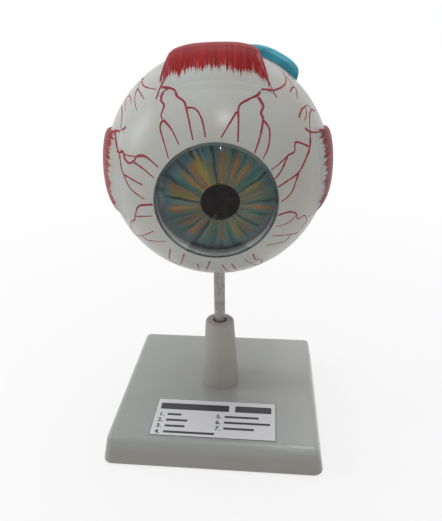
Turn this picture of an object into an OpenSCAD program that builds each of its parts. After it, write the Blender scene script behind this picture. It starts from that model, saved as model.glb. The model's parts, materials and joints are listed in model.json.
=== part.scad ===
// Human eye teaching model, about six times life size, on a rod and a moulded base.
//
// The eyeball opens across the front: the front shell, with its cornea and iris, draws off
// forwards and lets the lens and the vitreous body out. The ball lifts off its rod, and the
// rod turns in the tapered socket that stands on the base.
//
// Millimetres, +Z up, front of the object towards -Y. The origin is the middle of the base's
// underside. Pieces of the eyeball are drawn about the ball's centre, with x to the nose side,
// y up and z forwards, and eye() carries them to their place above the base.

/* [Base] */
// Width of the base, side to side
base_w = 150; // [120:1:190]
// Depth of the base, front to back
base_d = 140; // [112:1:180]
// Height of the base
base_h = 21; // [17:0.5:28]
// How far each side wall leans in from the foot to the top
wall_lean = 3; // [0:0.5:5]
// Radius of the rounded top edge
edge_r = 4.5; // [2.5:0.5:6]
// Radius of the foot's corners in plan
corner_r = 7; // [5:0.5:10]
// Chamfer round the very foot
foot_chamfer = 1.2; // [0.5:0.1:2]
// Wall thickness of the moulded base
base_wall = 2.8; // [2.2:0.1:3.6]
// Thickness of the ribs under the top
rib_t = 1.8; // [1.2:0.1:2.4]
// Thickness of the board that closes the underside
cover_t = 2.4; // [1.8:0.1:3.2]
// Width of the rim left round that board
cover_rim = 1.4; // [1:0.1:2]
// Radius of the shank of the board's screws
cover_screw_r = 1.5; // [1.2:0.1:2]
// Distance of those screws from the sides of the base
cover_screw_in = 16; // [13:0.5:20]

/* [Label] */
// Width of the label
label_w = 86; // [60:1:105]
// Depth of the label, front to back
label_d = 38; // [25:1:46]
// Thickness of the label
label_t = 0.25; // [0.2:0.05:0.6]
// Gap from the label to the front edge of the base's foot
label_in = 8; // [6:0.5:12]

/* [Socket] */
// Height of the tapered socket above the base
socket_h = 53; // [40:1:70]
// Radius of the socket at its top
socket_top_r = 10.5; // [8.5:0.1:13]
// Radius of the socket at the base
socket_foot_r = 14; // [12:0.1:17]
// Rounding of the socket's top edge
socket_round = 1.8; // [0.5:0.1:2.5]
// Radius of the wide mouth above the bore
mouth_r = 5.1; // [4.8:0.1:6.5]
// Depth of the wide mouth
mouth_depth = 9; // [4:0.5:16]
// Radius of the spigot that sits in the base
spigot_r = 9.5; // [7.5:0.1:11]
// Length of that spigot
spigot_l = 8; // [6:0.5:10]
// Distance of the socket's axis behind the middle of the base
rod_y = 4.5; // [0:0.5:12]

/* [Rod] */
// Radius of the steel rod
rod_r = 4; // [3.2:0.1:4.8]
// Radial clearance of the rod in its bores
rod_fit = 0.05; // [0.02:0.01:0.1]
// How far the rod reaches into the ball
rod_in_ball = 13.4; // [11:0.1:16]

/* [Eyeball] */
// Radius of the eyeball
ball_r = 71; // [59:1:86]
// Height of the ball's centre above the table
ball_z = 191; // [172:1:230]
// Wall thickness of the white shells
shell_t = 5; // [4:0.1:6]
// Distance of the parting seam in front of the ball's centre
seam_z = 14; // [11:0.5:17]
// Gap between the shells at the seam
seam_gap = 0.3; // [0.2:0.05:0.6]
// How far the dark lining reaches past the seam, to guide the front shell
lip_l = 5; // [3:0.5:7]
// Thickness of the dark lining and of the retina
lining_t = 2.2; // [1.6:0.1:3]
// Gap between nested linings
nest_gap = 0.2; // [0.1:0.05:0.4]
// How far the eye is turned on its rod, in degrees
eye_yaw = 4.3; // [-180:0.1:180]
// How far the pupil looks down from the level, in degrees
gaze_pitch = 6; // [0:0.5:8]

/* [Front of the eye] */
// Radius of the opening for the cornea
opening_r = 34.5; // [29:0.5:38]
// Radius of curvature of the cornea
cornea_r = 48; // [42:0.5:58]
// Thickness of the cornea
cornea_t = 1.6; // [1.2:0.1:2.4]
// Depth of the iris's edge behind the rim of the opening
iris_depth = 13; // [10:0.5:15]
// How much wider the tunnel is at the iris than at the rim
tunnel_flare = 2; // [0:0.5:3]
// How far the iris domes forward from its edge
iris_rise = 11.5; // [8:0.5:12]
// Thickness of the iris
iris_t = 2; // [1.6:0.1:2.6]
// Radius of the pupil
pupil_r = 11; // [8:0.5:14]
// How far the pupil sits towards the nose
pupil_in = 2.3; // [0:0.1:3]
// How far the pupil sits below the middle of the iris
pupil_down = 0.6; // [0:0.1:2]
// Number of folds round the ciliary ring
folds = 36; // [24:4:48]

/* [Lens and vitreous body] */
// Radius of the lens
lens_r = 27; // [23:0.5:28.5]
// Radius of curvature of the lens in front
lens_front_r = 60; // [50:1:75]
// Radius of curvature of the lens behind
lens_back_r = 36; // [32:1:45]
// Height of the band round the lens
lens_band = 3; // [2:0.5:4]

/* [Optic nerve] */
// Radius of the nerve
nerve_r = 7; // [5:0.5:9]
// Wall of the sheath round the nerve
sheath_t = 2.8; // [2:0.1:4]
// Length of the sheath outside the ball
sheath_l = 26; // [16:1:36]
// How far the nerve leaves the sheath
nerve_out = 4; // [2:0.5:8]
// Angle of the nerve from the back of the eye, towards the nose
nerve_angle = 15; // [10:1:20]
// Radius of the yellow spot
spot_r = 5; // [3:0.5:7]

/* [Muscles] */
// Lift of the muscles above the ball where they are thickest
muscle_t = 5; // [4:0.25:6.5]
// Half width of the upper muscle where it crosses the seam
upper_half_w = 27; // [22:0.5:30]
// Half width of the side muscles where they cross the seam
side_half_w = 22; // [18:0.5:25]
// Half width of the slanting muscles
slant_half_w = 11; // [8:0.5:13]
// Lift of the upper slanting muscle above the ball
slant_t = 8.3; // [6:0.1:10]

/* [Hidden] */
$fn = 96;

// ---- Base, socket and rod ----
top_wall = 3;
rebate_fit = 0.15;
rib_clear = 0.6;
boss_r = 4.5;
seat_r = spigot_r + 3.2;
seat_floor = 3;
spigot_fit = 0.05;
fixing_r = 2.5;
fixing_head_r = 4.6;
fixing_head_h = 3;
washer_r = 6.5;
washer_t = 1.2;
bore_floor = 5;
screw_fit = 0.06;
head_spread = 1.7;

top_under = base_h - top_wall;
seat_z = base_h - spigot_l - seat_floor;
rod_foot_z = base_h + bore_floor + 0.1;
rod_top_z = ball_z - ball_r + rod_in_ball;
rod_chamfer = 0.8;

// ---- Shells, from the outside in ----
shell_in = ball_r - shell_t;
lining_out = shell_in - nest_gap;
lining_in = lining_out - lining_t;
retina_out = lining_in - nest_gap;
retina_in = retina_out - lining_t;
vitreous_gap = 0.4;
vitreous_r = retina_in - vitreous_gap;
lip_z = seam_z + lip_l;
key_w = 6;
key_gap = 0.3;

// ---- Seat of the rod in the ball ----
bush_wall = 2;
bush_end = 1.5;
bush_r = rod_r + bush_wall;
bush_top = ball_r - rod_in_ball - 0.1 - bush_end;
rod_boss_r = bush_r + 2;
boss_roof = 1.4;
boss_clear = 0.6;
rod_boss_top = bush_top - boss_roof;
vitreous_flat = rod_boss_top - boss_clear;

// ---- Front of the eye, measured along the gaze ----
limbus_z = sqrt(pow(ball_r, 2) - pow(opening_r, 2));
cornea_z = limbus_z - sqrt(pow(cornea_r, 2) - pow(opening_r, 2));
cornea_edge_r = opening_r - 0.2;
cornea_skirt = 3;
tunnel_wall = 2.2;
tunnel_end_r = opening_r + tunnel_flare;
iris_edge_z = limbus_z - iris_depth;
iris_edge_r = tunnel_end_r;
iris_r = (pow(iris_edge_r, 2) + pow(iris_rise, 2)) / (2 * iris_rise);
iris_z = iris_edge_z + iris_rise - iris_r;
iris_flange_r = tunnel_end_r + tunnel_wall;
iris_flange_t = 2;

// ---- Lens, set close behind the iris ----
lens_gap = 2;
lens_apex = iris_z + iris_r - iris_t - lens_gap;
lens_front_z = lens_apex - lens_front_r;
lens_edge_z = lens_front_z + sqrt(pow(lens_front_r, 2) - pow(lens_r, 2));
lens_back_z = lens_edge_z - lens_band + sqrt(pow(lens_back_r, 2) - pow(lens_r, 2));
fossa_gap = 0.3;

// ---- Ciliary ring and the fibres that hold the lens ----
ring_top_z = iris_edge_z - iris_flange_t - nest_gap;
ring_t = 2.4;
fold_depth = 5.6;
fold_w = 1.5;
fold_in_r = lens_r + 4.5;
ring_in_r = fold_in_r + 4;
ring_foot_z = ring_top_z - ring_t - fold_depth;
ring_out_r = sqrt(pow(lining_out, 2) - pow(ring_top_z, 2));
fibre_in_r = lens_r + 0.8;
fibre_t = 1.2;
fibre_slot_w = 1.6;
vitreous_front = ring_foot_z - 0.6;

// ---- Optic nerve ----
sheath_r = nerve_r + sheath_t;
nerve_fit = 0.1;
vein_r = 1.1;
artery_r = 0.9;
vessel_l = 12;
spot_t = 1;

// ---- Muscles: each is [angle from the front pole, value] along its length ----
strap_gap = 0.12;
strap_points = 14;
shoulder_power = 5;
seam_angle = acos(seam_z / ball_r);
strap_step = 4;

muscle_end = 138;
insertion_up = 50;
insertion_side = 55;
insertion_down = 70;
feather = 0.15;

upper_w = [[insertion_up, upper_half_w * 1.24], [seam_angle, upper_half_w], [91, upper_half_w * 0.96],
           [96, upper_half_w * 0.74], [101, upper_half_w * 0.56], [muscle_end, upper_half_w * 0.5]];
upper_mid = [[insertion_up, feather], [58, 1.4], [seam_angle, muscle_t * 0.54], [93, muscle_t * 0.6],
             [112, muscle_t], [muscle_end, muscle_t]];
upper_edge = [[insertion_up, feather], [58, 1.7], [seam_angle, muscle_t], [93, muscle_t * 1.08],
              [112, muscle_t], [muscle_end, muscle_t * 0.8]];

side_w = [[insertion_side, side_half_w * 1.24], [seam_angle, side_half_w], [105, side_half_w * 0.82],
          [muscle_end, side_half_w * 0.62]];
side_mid = [[insertion_side, feather], [64, 1.5], [seam_angle, muscle_t * 0.48], [105, muscle_t * 0.95],
            [muscle_end, muscle_t]];
side_edge = [[insertion_side, feather], [64, 1.9], [seam_angle, muscle_t * 0.62], [105, muscle_t],
             [muscle_end, muscle_t * 0.8]];

lower_w = [[insertion_down, side_half_w * 1.1], [seam_angle, side_half_w], [105, side_half_w * 0.82],
           [muscle_end, side_half_w * 0.62]];
lower_mid = [[insertion_down, feather], [seam_angle, muscle_t * 0.4], [105, muscle_t * 0.95],
             [muscle_end, muscle_t]];
lower_edge = [[insertion_down, feather], [seam_angle, muscle_t * 0.5], [105, muscle_t],
              [muscle_end, muscle_t * 0.8]];

// Angles round the front pole at which the straight muscles lie
nose_side = 3;
temple_side = 177;
up_side = 91.2;
down_side = 270;

// The slanting muscles run round the ball from a rounded end to the edge of a straight muscle,
// and lean back between two angles off the front pole on the way
slant_lean = [101, 110];
slant_gap = 0.4;
slant_spread = slant_half_w / ball_r * 180 / PI;
upper_slant = [46.5, up_side - edge_angle(upper_w)];
lower_slant = [207, down_side - edge_angle(lower_w)];
upper_slant_lift = [[0, 0.06], [0.03, 0.6], [0.1, 0.88], [0.22, 1], [0.6, 1], [0.8, 0.87], [1, 0.6]];
lower_slant_lift = [[0, 0.1], [0.03, 0.6], [0.14, 1], [0.8, 1], [1, 0.8]];

// Angle round the front pole from a straight muscle's middle to its edge, t off the pole
function half_angle(t, width) = atan(tan(lookup(t, width) / ball_r * 180 / PI) / sin(t));
// The same where a slanting muscle ends beside it, with the gap
function edge_angle(width) =
  let (near = slant_lean[1] - slant_spread, far = slant_lean[1] + slant_spread)
  max(half_angle(near, width), half_angle(far, width)) + slant_gap / (ball_r * sin(far)) * 180 / PI;

// ================= Shared shapes =================

// Block with leaning walls and rounded edges, drawn in by inset on every side
module leaning_block(inset, top, round_r, plan_r, chamfer) {
  x_foot = base_w / 2 - inset - plan_r;
  y_foot = base_d / 2 - inset - plan_r;
  x_top = base_w / 2 - inset - wall_lean - round_r;
  y_top = base_d / 2 - inset - wall_lean - round_r;
  hull()
    for (sx = [-1, 1], sy = [-1, 1]) {
      translate([sx * x_foot, sy * y_foot, 0])
        cylinder(r1 = plan_r - chamfer, r2 = plan_r, h = max(chamfer, 0.4), $fn = 32);
      translate([sx * x_top, sy * y_top, top - round_r])
        sphere(r = round_r, $fn = 32);
    }
}

// Flat plate with rounded corners, standing on z = 0
module round_plate(w, d, t, r) {
  translate([-w / 2 + r, -d / 2, 0])
    cube([w - 2 * r, d, t]);
  translate([-w / 2, -d / 2 + r, 0])
    cube([w, d - 2 * r, t]);
  for (sx = [-1, 1], sy = [-1, 1])
    translate([sx * (w / 2 - r), sy * (d / 2 - r), 0])
      cylinder(r = r, h = t);
}

// Copies at the four screws of the bottom board
module at_cover_screws() {
  for (sx = [-1, 1], sy = [-1, 1])
    translate([sx * (base_w / 2 - cover_screw_in), sy * (base_d / 2 - cover_screw_in), 0])
      children();
}

// Points of a quarter round from the side of a profile to its top
function round_over(x, y, r, n) = [
  for (i = [0 : n])
    [x - r + r * cos(90 * i / n), y - r + r * sin(90 * i / n)]
];

// From the ball's own axes to the table's
module eye() {
  translate([0, rod_y, ball_z])
    rotate([90, 0, eye_yaw])
      children();
}

// The line of sight, which looks a little down
module gaze() {
  rotate([gaze_pitch, 0, 0])
    children();
}

// Everything in front of, or behind, a plane across the ball
module before(z) {
  translate([-1.5 * ball_r, -1.5 * ball_r, z])
    cube([3 * ball_r, 3 * ball_r, 2 * ball_r]);
}

module behind(z) {
  translate([-1.5 * ball_r, -1.5 * ball_r, z - 2 * ball_r])
    cube([3 * ball_r, 3 * ball_r, 2 * ball_r]);
}

// Upright cylinder under the ball, in line with the rod, with its upper end at the given depth
module under_ball(r, depth, h) {
  translate([0, -depth, 0])
    rotate([90, 0, 0])
      cylinder(r = r, h = h);
}

// Cylinder that leaves the ball along the optic nerve
module along_nerve(r, from, to) {
  rotate([0, 180 - nerve_angle, 0])
    translate([0, 0, from])
      cylinder(r = r, h = to - from);
}

// Half profile of a cup: round behind the centre, straight in front of it
module cup_profile(r, front) {
  intersection() {
    circle(r = r);
    translate([0, -r])
      square([r, r]);
  }
  square([r, front]);
}

// Cup between two radii, open in front
module cup(outer, inner, front) {
  rotate_extrude()
    difference() {
      cup_profile(outer, front);
      cup_profile(inner, front + 1);
    }
}

// ---- Straps that lie on the ball ----

// Direction at angle t from the front pole, in the half plane at angle a round it
function pole_dir(t, a) = [sin(t) * cos(a), sin(t) * sin(a), cos(t)];

// Share of the half width at step i across a strap, and share of the lift there
function across(i) = cos(180 * i / strap_points);
function crown(u) = pow(max(0, 1 - pow(abs(u), shoulder_power)), 1 / shoulder_power);

// Point of a strap: middle direction c, side direction s, share u of half width w, lift h
function strap_point(c, s, u, w, h) =
  let (turn = u * w / ball_r * 180 / PI)
  (ball_r + strap_gap + h) * (c * cos(turn) + s * sin(turn));

// One cross-section: over the top from side to side, then back along the ball
function strap_ring(c, s, w, mid, edge) = concat(
  [for (i = [0 : strap_points])
    let (u = across(i))
    strap_point(c, s, u, w, (mid + (edge - mid) * u * u) * (i % strap_points == 0 ? 0 : crown(u)))],
  [for (i = [strap_points - 1 : -1 : 1]) strap_point(c, s, across(i), w, 0)]
);

// Triangles between two rings, and the strips that close an end
function side_faces(a, b, n) = [
  for (i = [0 : n - 1])
    let (j = (i + 1) % n)
    each [[a + i, b + i, b + j], [a + i, b + j, a + j]]
];
function end_faces(a, n) = [
  for (i = [0 : strap_points - 1])
    let (p = a + i, q = a + i + 1, back_p = a + (n - i) % n, back_q = a + n - i - 1)
    each concat(i > 0 ? [[p, q, back_p]] : [], i < strap_points - 1 ? [[q, back_q, back_p]] : [])
];
function flip(faces) = [for (f = faces) [f[2], f[1], f[0]]];

// Solid through a list of cross-sections
module strap(rings) {
  n = 2 * strap_points;
  last = len(rings) - 1;
  polyhedron(
    points = [for (ring = rings) each ring],
    faces = concat(
      end_faces(0, n),
      [for (k = [0 : last - 1]) each side_faces(k * n, (k + 1) * n, n)],
      flip(end_faces(last * n, n))
    )
  );
}

// Straight muscle in the half plane at angle a, from angle t0 to t1 off the front pole
module straight_strap(a, t0, t1, width, mid, edge) {
  steps = ceil((t1 - t0) / strap_step);
  strap([for (k = [0 : steps])
    let (t = t0 + (t1 - t0) * k / steps)
    strap_ring(pole_dir(t, a), [-sin(a), cos(a), 0], lookup(t, width), lookup(t, mid), lookup(t, edge))]);
}

// Slanting muscle that runs round the ball, from its rounded end to a straight muscle
module slanting_strap(turn, lift, thickest) {
  steps = ceil((turn[1] - turn[0]) / strap_step) + 6;
  strap([for (k = [0 : steps])
    let (
      share = pow(k / steps, 1.5),
      a = turn[0] + (turn[1] - turn[0]) * share,
      t = slant_lean[0] + (slant_lean[1] - slant_lean[0]) * share,
      h = thickest * lookup(share, lift)
    )
    strap_ring(pole_dir(t, a), pole_dir(t + 90, a), slant_half_w, h, h * 0.9)]);
}

// ================= Base =================

module base_shell() {
  color([0.60, 0.62, 0.59])
    difference() {
      leaning_block(0, base_h, edge_r, corner_r, foot_chamfer);
      difference() {
        leaning_block(base_wall, top_under, edge_r - 1.5, corner_r - base_wall, 0);
        translate([-rib_t / 2, -base_d / 2, cover_t + rib_clear])
          cube([rib_t, base_d, base_h]);
        translate([-base_w / 2, rod_y - rib_t / 2, cover_t + rib_clear])
          cube([base_w, rib_t, base_h]);
        translate([0, rod_y, seat_z])
          cylinder(r = seat_r, h = base_h);
        at_cover_screws()
          translate([0, 0, cover_t])
            cylinder(r = boss_r, h = base_h);
      }
      translate([0, 0, -1])
        round_plate(base_w - 2 * cover_rim, base_d - 2 * cover_rim, cover_t + 1, corner_r - cover_rim);
      translate([0, rod_y, base_h - spigot_l])
        cylinder(r = spigot_r + spigot_fit, h = base_h);
      translate([0, rod_y, 0])
        cylinder(r = fixing_r + screw_fit, h = base_h);
      translate([0, rod_y, seat_z - base_h])
        cylinder(r = washer_r + 0.5, h = base_h);
      at_cover_screws()
        cylinder(r = cover_screw_r + screw_fit, h = base_h - top_wall - 2);
    }
}

module bottom_cover() {
  w = base_w - 2 * (cover_rim + rebate_fit);
  d = base_d - 2 * (cover_rim + rebate_fit);
  head_r = cover_screw_r + head_spread;
  color([0.35, 0.30, 0.24])
    difference() {
      round_plate(w, d, cover_t, corner_r - cover_rim - rebate_fit);
      at_cover_screws() {
        translate([0, 0, -1])
          cylinder(r = cover_screw_r + screw_fit, h = cover_t + 2);
        cylinder(r1 = head_r + screw_fit, r2 = cover_screw_r + screw_fit, h = head_spread);
      }
    }
}

module cover_screws() {
  color([0.55, 0.55, 0.56])
    at_cover_screws() {
      cylinder(r1 = cover_screw_r + head_spread, r2 = cover_screw_r, h = head_spread);
      cylinder(r = cover_screw_r, h = top_under - 4);
    }
}

module label_plate() {
  color([0.90, 0.90, 0.93])
    translate([0, -base_d / 2 + label_in + label_d / 2, base_h + label_t / 2])
      cube([label_w, label_d, label_t], center = true);
}

// ================= Socket and rod =================

module socket_column() {
  color([0.55, 0.53, 0.50])
    translate([0, rod_y, base_h])
      difference() {
        rotate_extrude()
          polygon(concat(
            [[0, -spigot_l], [spigot_r, -spigot_l], [spigot_r, 0], [socket_foot_r, 0]],
            round_over(socket_top_r, socket_h, socket_round, 6),
            [[0, socket_h]]
          ));
        translate([0, 0, bore_floor])
          cylinder(r = rod_r + rod_fit, h = socket_h);
        translate([0, 0, socket_h - mouth_depth])
          cylinder(r = mouth_r, h = mouth_depth + 1);
        translate([0, 0, -spigot_l - 1])
          cylinder(r = fixing_r + screw_fit, h = spigot_l + bore_floor - 1);
      }
}

module column_washer() {
  color([0.62, 0.62, 0.63])
    translate([0, rod_y, seat_z - washer_t])
      difference() {
        cylinder(r = washer_r, h = washer_t);
        translate([0, 0, -1])
          cylinder(r = fixing_r + 0.2, h = washer_t + 2);
      }
}

module column_screw() {
  head_z = seat_z - washer_t - fixing_head_h;
  color([0.55, 0.55, 0.56])
    translate([0, rod_y, head_z])
      difference() {
        union() {
          cylinder(r1 = fixing_head_r - 0.8, r2 = fixing_head_r, h = 0.8);
          translate([0, 0, 0.8])
            cylinder(r = fixing_head_r, h = fixing_head_h - 0.8);
          cylinder(r = fixing_r, h = base_h + bore_floor - 3 - head_z);
        }
        translate([-fixing_head_r, -0.6, -1])
          cube([2 * fixing_head_r, 1.2, 2.2]);
      }
}

module support_rod() {
  color([0.62, 0.61, 0.58])
    translate([0, rod_y, rod_foot_z]) {
      cylinder(r1 = rod_r - rod_chamfer, r2 = rod_r, h = rod_chamfer);
      translate([0, 0, rod_chamfer])
        cylinder(r = rod_r, h = rod_top_z - rod_foot_z - 2 * rod_chamfer);
      translate([0, 0, rod_top_z - rod_foot_z - rod_chamfer])
        cylinder(r1 = rod_r, r2 = rod_r - rod_chamfer, h = rod_chamfer);
    }
}

module rod_bush() {
  color([0.72, 0.58, 0.32])
    eye()
      difference() {
        under_ball(bush_r, bush_top, ball_r - bush_top - 0.6);
        under_ball(rod_r + rod_fit, bush_top + bush_end, ball_r);
      }
}

// ================= Rear half of the ball =================

module sclera_rear() {
  color([0.86, 0.86, 0.82])
    eye()
      difference() {
        union() {
          rotate_extrude()
            difference() {
              intersection() {
                circle(r = ball_r);
                translate([0, -ball_r])
                  square([ball_r, ball_r + seam_z - seam_gap / 2]);
              }
              cup_profile(shell_in, seam_z + 1);
            }
          intersection() {
            under_ball(rod_boss_r, rod_boss_top, ball_r);
            sphere(r = ball_r - 1);
          }
        }
        under_ball(bush_r + nerve_fit / 2, bush_top, ball_r);
        along_nerve(sheath_r + nerve_fit, shell_in - 8, ball_r + 8);
      }
}

module choroid_rear() {
  color([0.30, 0.12, 0.10])
    eye()
      difference() {
        cup(lining_out, lining_in, lip_z);
        under_ball(rod_boss_r + nest_gap, 0, ball_r);
        along_nerve(nerve_r + nerve_fit, 0, ball_r);
        keys(key_gap);
      }
}

// Two blocks that stop the front shell from turning on the lining's lip
module keys(room) {
  for (a = [45, 225])
    rotate([0, 0, a])
      translate([lining_in - 3, -key_w / 2 - room, seam_z + 1 - room])
        cube([shell_in - lining_in + 4, key_w + 2 * room, lip_l + 2]);
}

module retina() {
  color([0.82, 0.42, 0.24])
    eye()
      difference() {
        cup(retina_out, retina_in, seam_z - 2);
        under_ball(rod_boss_r + nest_gap, 0, ball_r);
        along_nerve(nerve_r + nerve_fit, 0, ball_r);
        yellow_spot_pocket(spot_r + nerve_fit, spot_t + 0.05);
      }
}

module yellow_spot_pocket(r, depth) {
  intersection() {
    rotate([0, 180, 0])
      cylinder(r = r, h = ball_r);
    sphere(r = retina_in + depth);
  }
}

module yellow_spot() {
  color([0.92, 0.78, 0.18])
    eye()
      difference() {
        yellow_spot_pocket(spot_r, spot_t);
        sphere(r = retina_in);
      }
}

module optic_nerve() {
  color([0.90, 0.80, 0.52])
    eye()
      difference() {
        along_nerve(nerve_r, 0, ball_r + sheath_l + nerve_out);
        sphere(r = retina_in);
        at_nerve_end(-vein_r * 2)
          cylinder(r = vein_r + nerve_fit / 2, h = vessel_l + 1);
        at_nerve_end(artery_r * 2)
          cylinder(r = artery_r + nerve_fit / 2, h = vessel_l + 1);
      }
}

// Place inside the cut end of the nerve, to one side of its middle
module at_nerve_end(side) {
  rotate([0, 180 - nerve_angle, 0])
    translate([side, 0, ball_r + sheath_l + nerve_out - vessel_l])
      children();
}

module nerve_sheath() {
  color([0.78, 0.74, 0.66])
    eye()
      difference() {
        along_nerve(sheath_r, 0, ball_r + sheath_l);
        along_nerve(nerve_r + nerve_fit, 0, ball_r + sheath_l + 1);
        sphere(r = shell_in);
      }
}

module central_artery() {
  color([0.75, 0.10, 0.10])
    eye()
      at_nerve_end(artery_r * 2)
        cylinder(r = artery_r, h = vessel_l + 1);
}

module central_vein() {
  color([0.15, 0.25, 0.65])
    eye()
      at_nerve_end(-vein_r * 2)
        cylinder(r = vein_r, h = vessel_l + 1);
}

// Rear part of a straight muscle, cut off flat at the seam
module rear_muscle(a, width, mid, edge) {
  intersection() {
    straight_strap(a, seam_angle - 3, muscle_end, width, mid, edge);
    behind(seam_z - seam_gap / 2);
  }
}

module superior_rectus() {
  color([0.60, 0.10, 0.12])
    eye()
      rear_muscle(up_side, upper_w, upper_mid, upper_edge);
}

// The rod passes through this muscle
module inferior_rectus() {
  color([0.60, 0.10, 0.12])
    eye()
      difference() {
        rear_muscle(down_side, lower_w, lower_mid, lower_edge);
        under_ball(bush_r, ball_r - 5, 20);
      }
}

module lateral_rectus() {
  color([0.60, 0.10, 0.12])
    eye()
      rear_muscle(temple_side, side_w, side_mid, side_edge);
}

module medial_rectus() {
  color([0.60, 0.10, 0.12])
    eye()
      rear_muscle(nose_side, side_w, side_mid, side_edge);
}

module superior_oblique() {
  color([0.22, 0.55, 0.60])
    eye()
      slanting_strap(upper_slant, upper_slant_lift, slant_t);
}

module inferior_oblique() {
  color([0.22, 0.55, 0.60])
    eye()
      slanting_strap(lower_slant, lower_slant_lift, muscle_t);
}

// ================= Front half of the ball =================

module sclera_front() {
  color([0.86, 0.86, 0.82])
    eye()
      difference() {
        union() {
          rotate_extrude()
            difference() {
              intersection() {
                circle(r = ball_r);
                translate([0, seam_z + seam_gap / 2])
                  square([ball_r, ball_r]);
              }
              circle(r = shell_in);
              square([shell_in, lip_z + 0.5]);
            }
          gaze()
            rotate([0, 0, 90])
              rotate_extrude()
                intersection() {
                  circle(r = ball_r - 1);
                  polygon([
                    [opening_r - tunnel_wall, iris_edge_z], [tunnel_end_r + tunnel_wall, iris_edge_z],
                    [opening_r + tunnel_wall, limbus_z], [opening_r - tunnel_wall, limbus_z]
                  ]);
                }
          intersection() {
            keys(0);
            rotate_extrude()
              translate([lining_in + 0.4, seam_z + 1])
                square([shell_in + 0.6 - lining_in, lip_l - 0.4]);
          }
        }
        gaze()
          translate([0, 0, iris_edge_z - 1])
            cylinder(
              r1 = tunnel_end_r + tunnel_flare / iris_depth,
              r2 = opening_r,
              h = iris_depth - cornea_skirt + 1
            );
        gaze()
          cylinder(r = opening_r, h = 2 * ball_r);
      }
}

// Front part of a straight muscle, from its insertion to the seam
module front_tendon(a, t0, width, mid, edge) {
  intersection() {
    straight_strap(a, t0, seam_angle + 4, width, mid, edge);
    before(seam_z + seam_gap / 2);
  }
}

module superior_tendon() {
  color([0.70, 0.16, 0.18])
    eye()
      front_tendon(up_side, insertion_up, upper_w, upper_mid, upper_edge);
}

module inferior_tendon() {
  color([0.70, 0.16, 0.18])
    eye()
      front_tendon(down_side, insertion_down, lower_w, lower_mid, lower_edge);
}

module lateral_tendon() {
  color([0.70, 0.16, 0.18])
    eye()
      front_tendon(temple_side, insertion_side, side_w, side_mid, side_edge);
}

module medial_tendon() {
  color([0.70, 0.16, 0.18])
    eye()
      front_tendon(nose_side, insertion_side, side_w, side_mid, side_edge);
}

module cornea() {
  skirt_z = limbus_z - cornea_skirt;
  color([0.80, 0.88, 0.92, 0.4])
    eye()
      gaze()
        rotate_extrude() {
          intersection() {
            difference() {
              translate([0, cornea_z])
                circle(r = cornea_r);
              translate([0, cornea_z])
                circle(r = cornea_r - cornea_t);
            }
            translate([0, skirt_z])
              square([cornea_edge_r, ball_r]);
          }
          translate([cornea_edge_r - cornea_t, skirt_z])
            square([cornea_t, cornea_skirt]);
        }
}

module iris() {
  color([0.25, 0.45, 0.50])
    eye()
      gaze()
        difference() {
          rotate_extrude() {
            intersection() {
              difference() {
                translate([0, iris_z])
                  circle(r = iris_r);
                translate([0, iris_z])
                  circle(r = iris_r - iris_t);
              }
              translate([0, iris_edge_z - iris_flange_t])
                square([iris_edge_r - 0.2, ball_r]);
            }
            translate([iris_edge_r - 2, iris_edge_z - iris_flange_t])
              square([iris_flange_r - iris_edge_r + 2, iris_flange_t - 0.05]);
          }
          translate([pupil_in, -pupil_down, 0])
            cylinder(r = pupil_r, h = ball_r);
        }
}

// Ring with folds all round, behind the iris
module ciliary_ring() {
  color([0.36, 0.20, 0.16])
    eye()
      gaze()
        intersection() {
          sphere(r = lining_out);
          translate([0, 0, ring_top_z - ring_t])
            difference() {
              union() {
                cylinder(r = ring_out_r, h = ring_t);
                for (i = [0 : folds - 1])
                  rotate([0, 0, 360 * i / folds])
                    translate([fold_in_r, -fold_w / 2, -fold_depth])
                      cube([ring_out_r - fold_in_r - 2, fold_w, fold_depth + ring_t / 2]);
              }
              translate([0, 0, -0.01])
                cylinder(r = ring_in_r, h = 2 * ring_t);
            }
        }
}

// Fine fibres between the ciliary ring and the lens
module zonule_ring() {
  color([0.85, 0.86, 0.84])
    eye()
      gaze()
        translate([0, 0, ring_top_z - ring_t + 0.05])
          difference() {
            cylinder(r = ring_in_r - 0.1, h = fibre_t);
            translate([0, 0, -1])
              cylinder(r = fibre_in_r, h = fibre_t + 2);
            for (i = [0 : folds - 1])
              rotate([0, 0, 360 * (i + 0.5) / folds])
                translate([fibre_in_r + 1.2, -fibre_slot_w / 2, -1])
                  cube([ring_in_r - fibre_in_r - 2.4, fibre_slot_w, fibre_t + 2]);
          }
}

module choroid_front() {
  color([0.30, 0.12, 0.10])
    eye()
      difference() {
        rotate_extrude()
          difference() {
            intersection() {
              circle(r = lining_out);
              translate([0, lip_z + 1])
                square([ball_r, ball_r]);
            }
            circle(r = lining_in);
          }
        gaze()
          cylinder(r = ring_out_r + nest_gap, h = ball_r);
        gaze()
          before(ring_top_z - ring_t - nest_gap);
      }
}

// ================= Lens and vitreous body =================

module lens() {
  color([0.90, 0.93, 0.95, 0.5])
    eye()
      gaze()
        intersection() {
          translate([0, 0, lens_front_z])
            sphere(r = lens_front_r);
          translate([0, 0, lens_back_z])
            sphere(r = lens_back_r);
          cylinder(r = lens_r, h = ball_r);
        }
}

module vitreous_body() {
  color([0.85, 0.92, 0.95, 0.3])
    eye()
      difference() {
        sphere(r = vitreous_r);
        gaze()
          before(vitreous_front);
        gaze()
          translate([0, 0, lens_back_z])
            sphere(r = lens_back_r + fossa_gap);
        translate([-ball_r, -ball_r - vitreous_flat, -ball_r])
          cube([2 * ball_r, ball_r, 2 * ball_r]);
      }
}

// ================= Nodes =================

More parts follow.
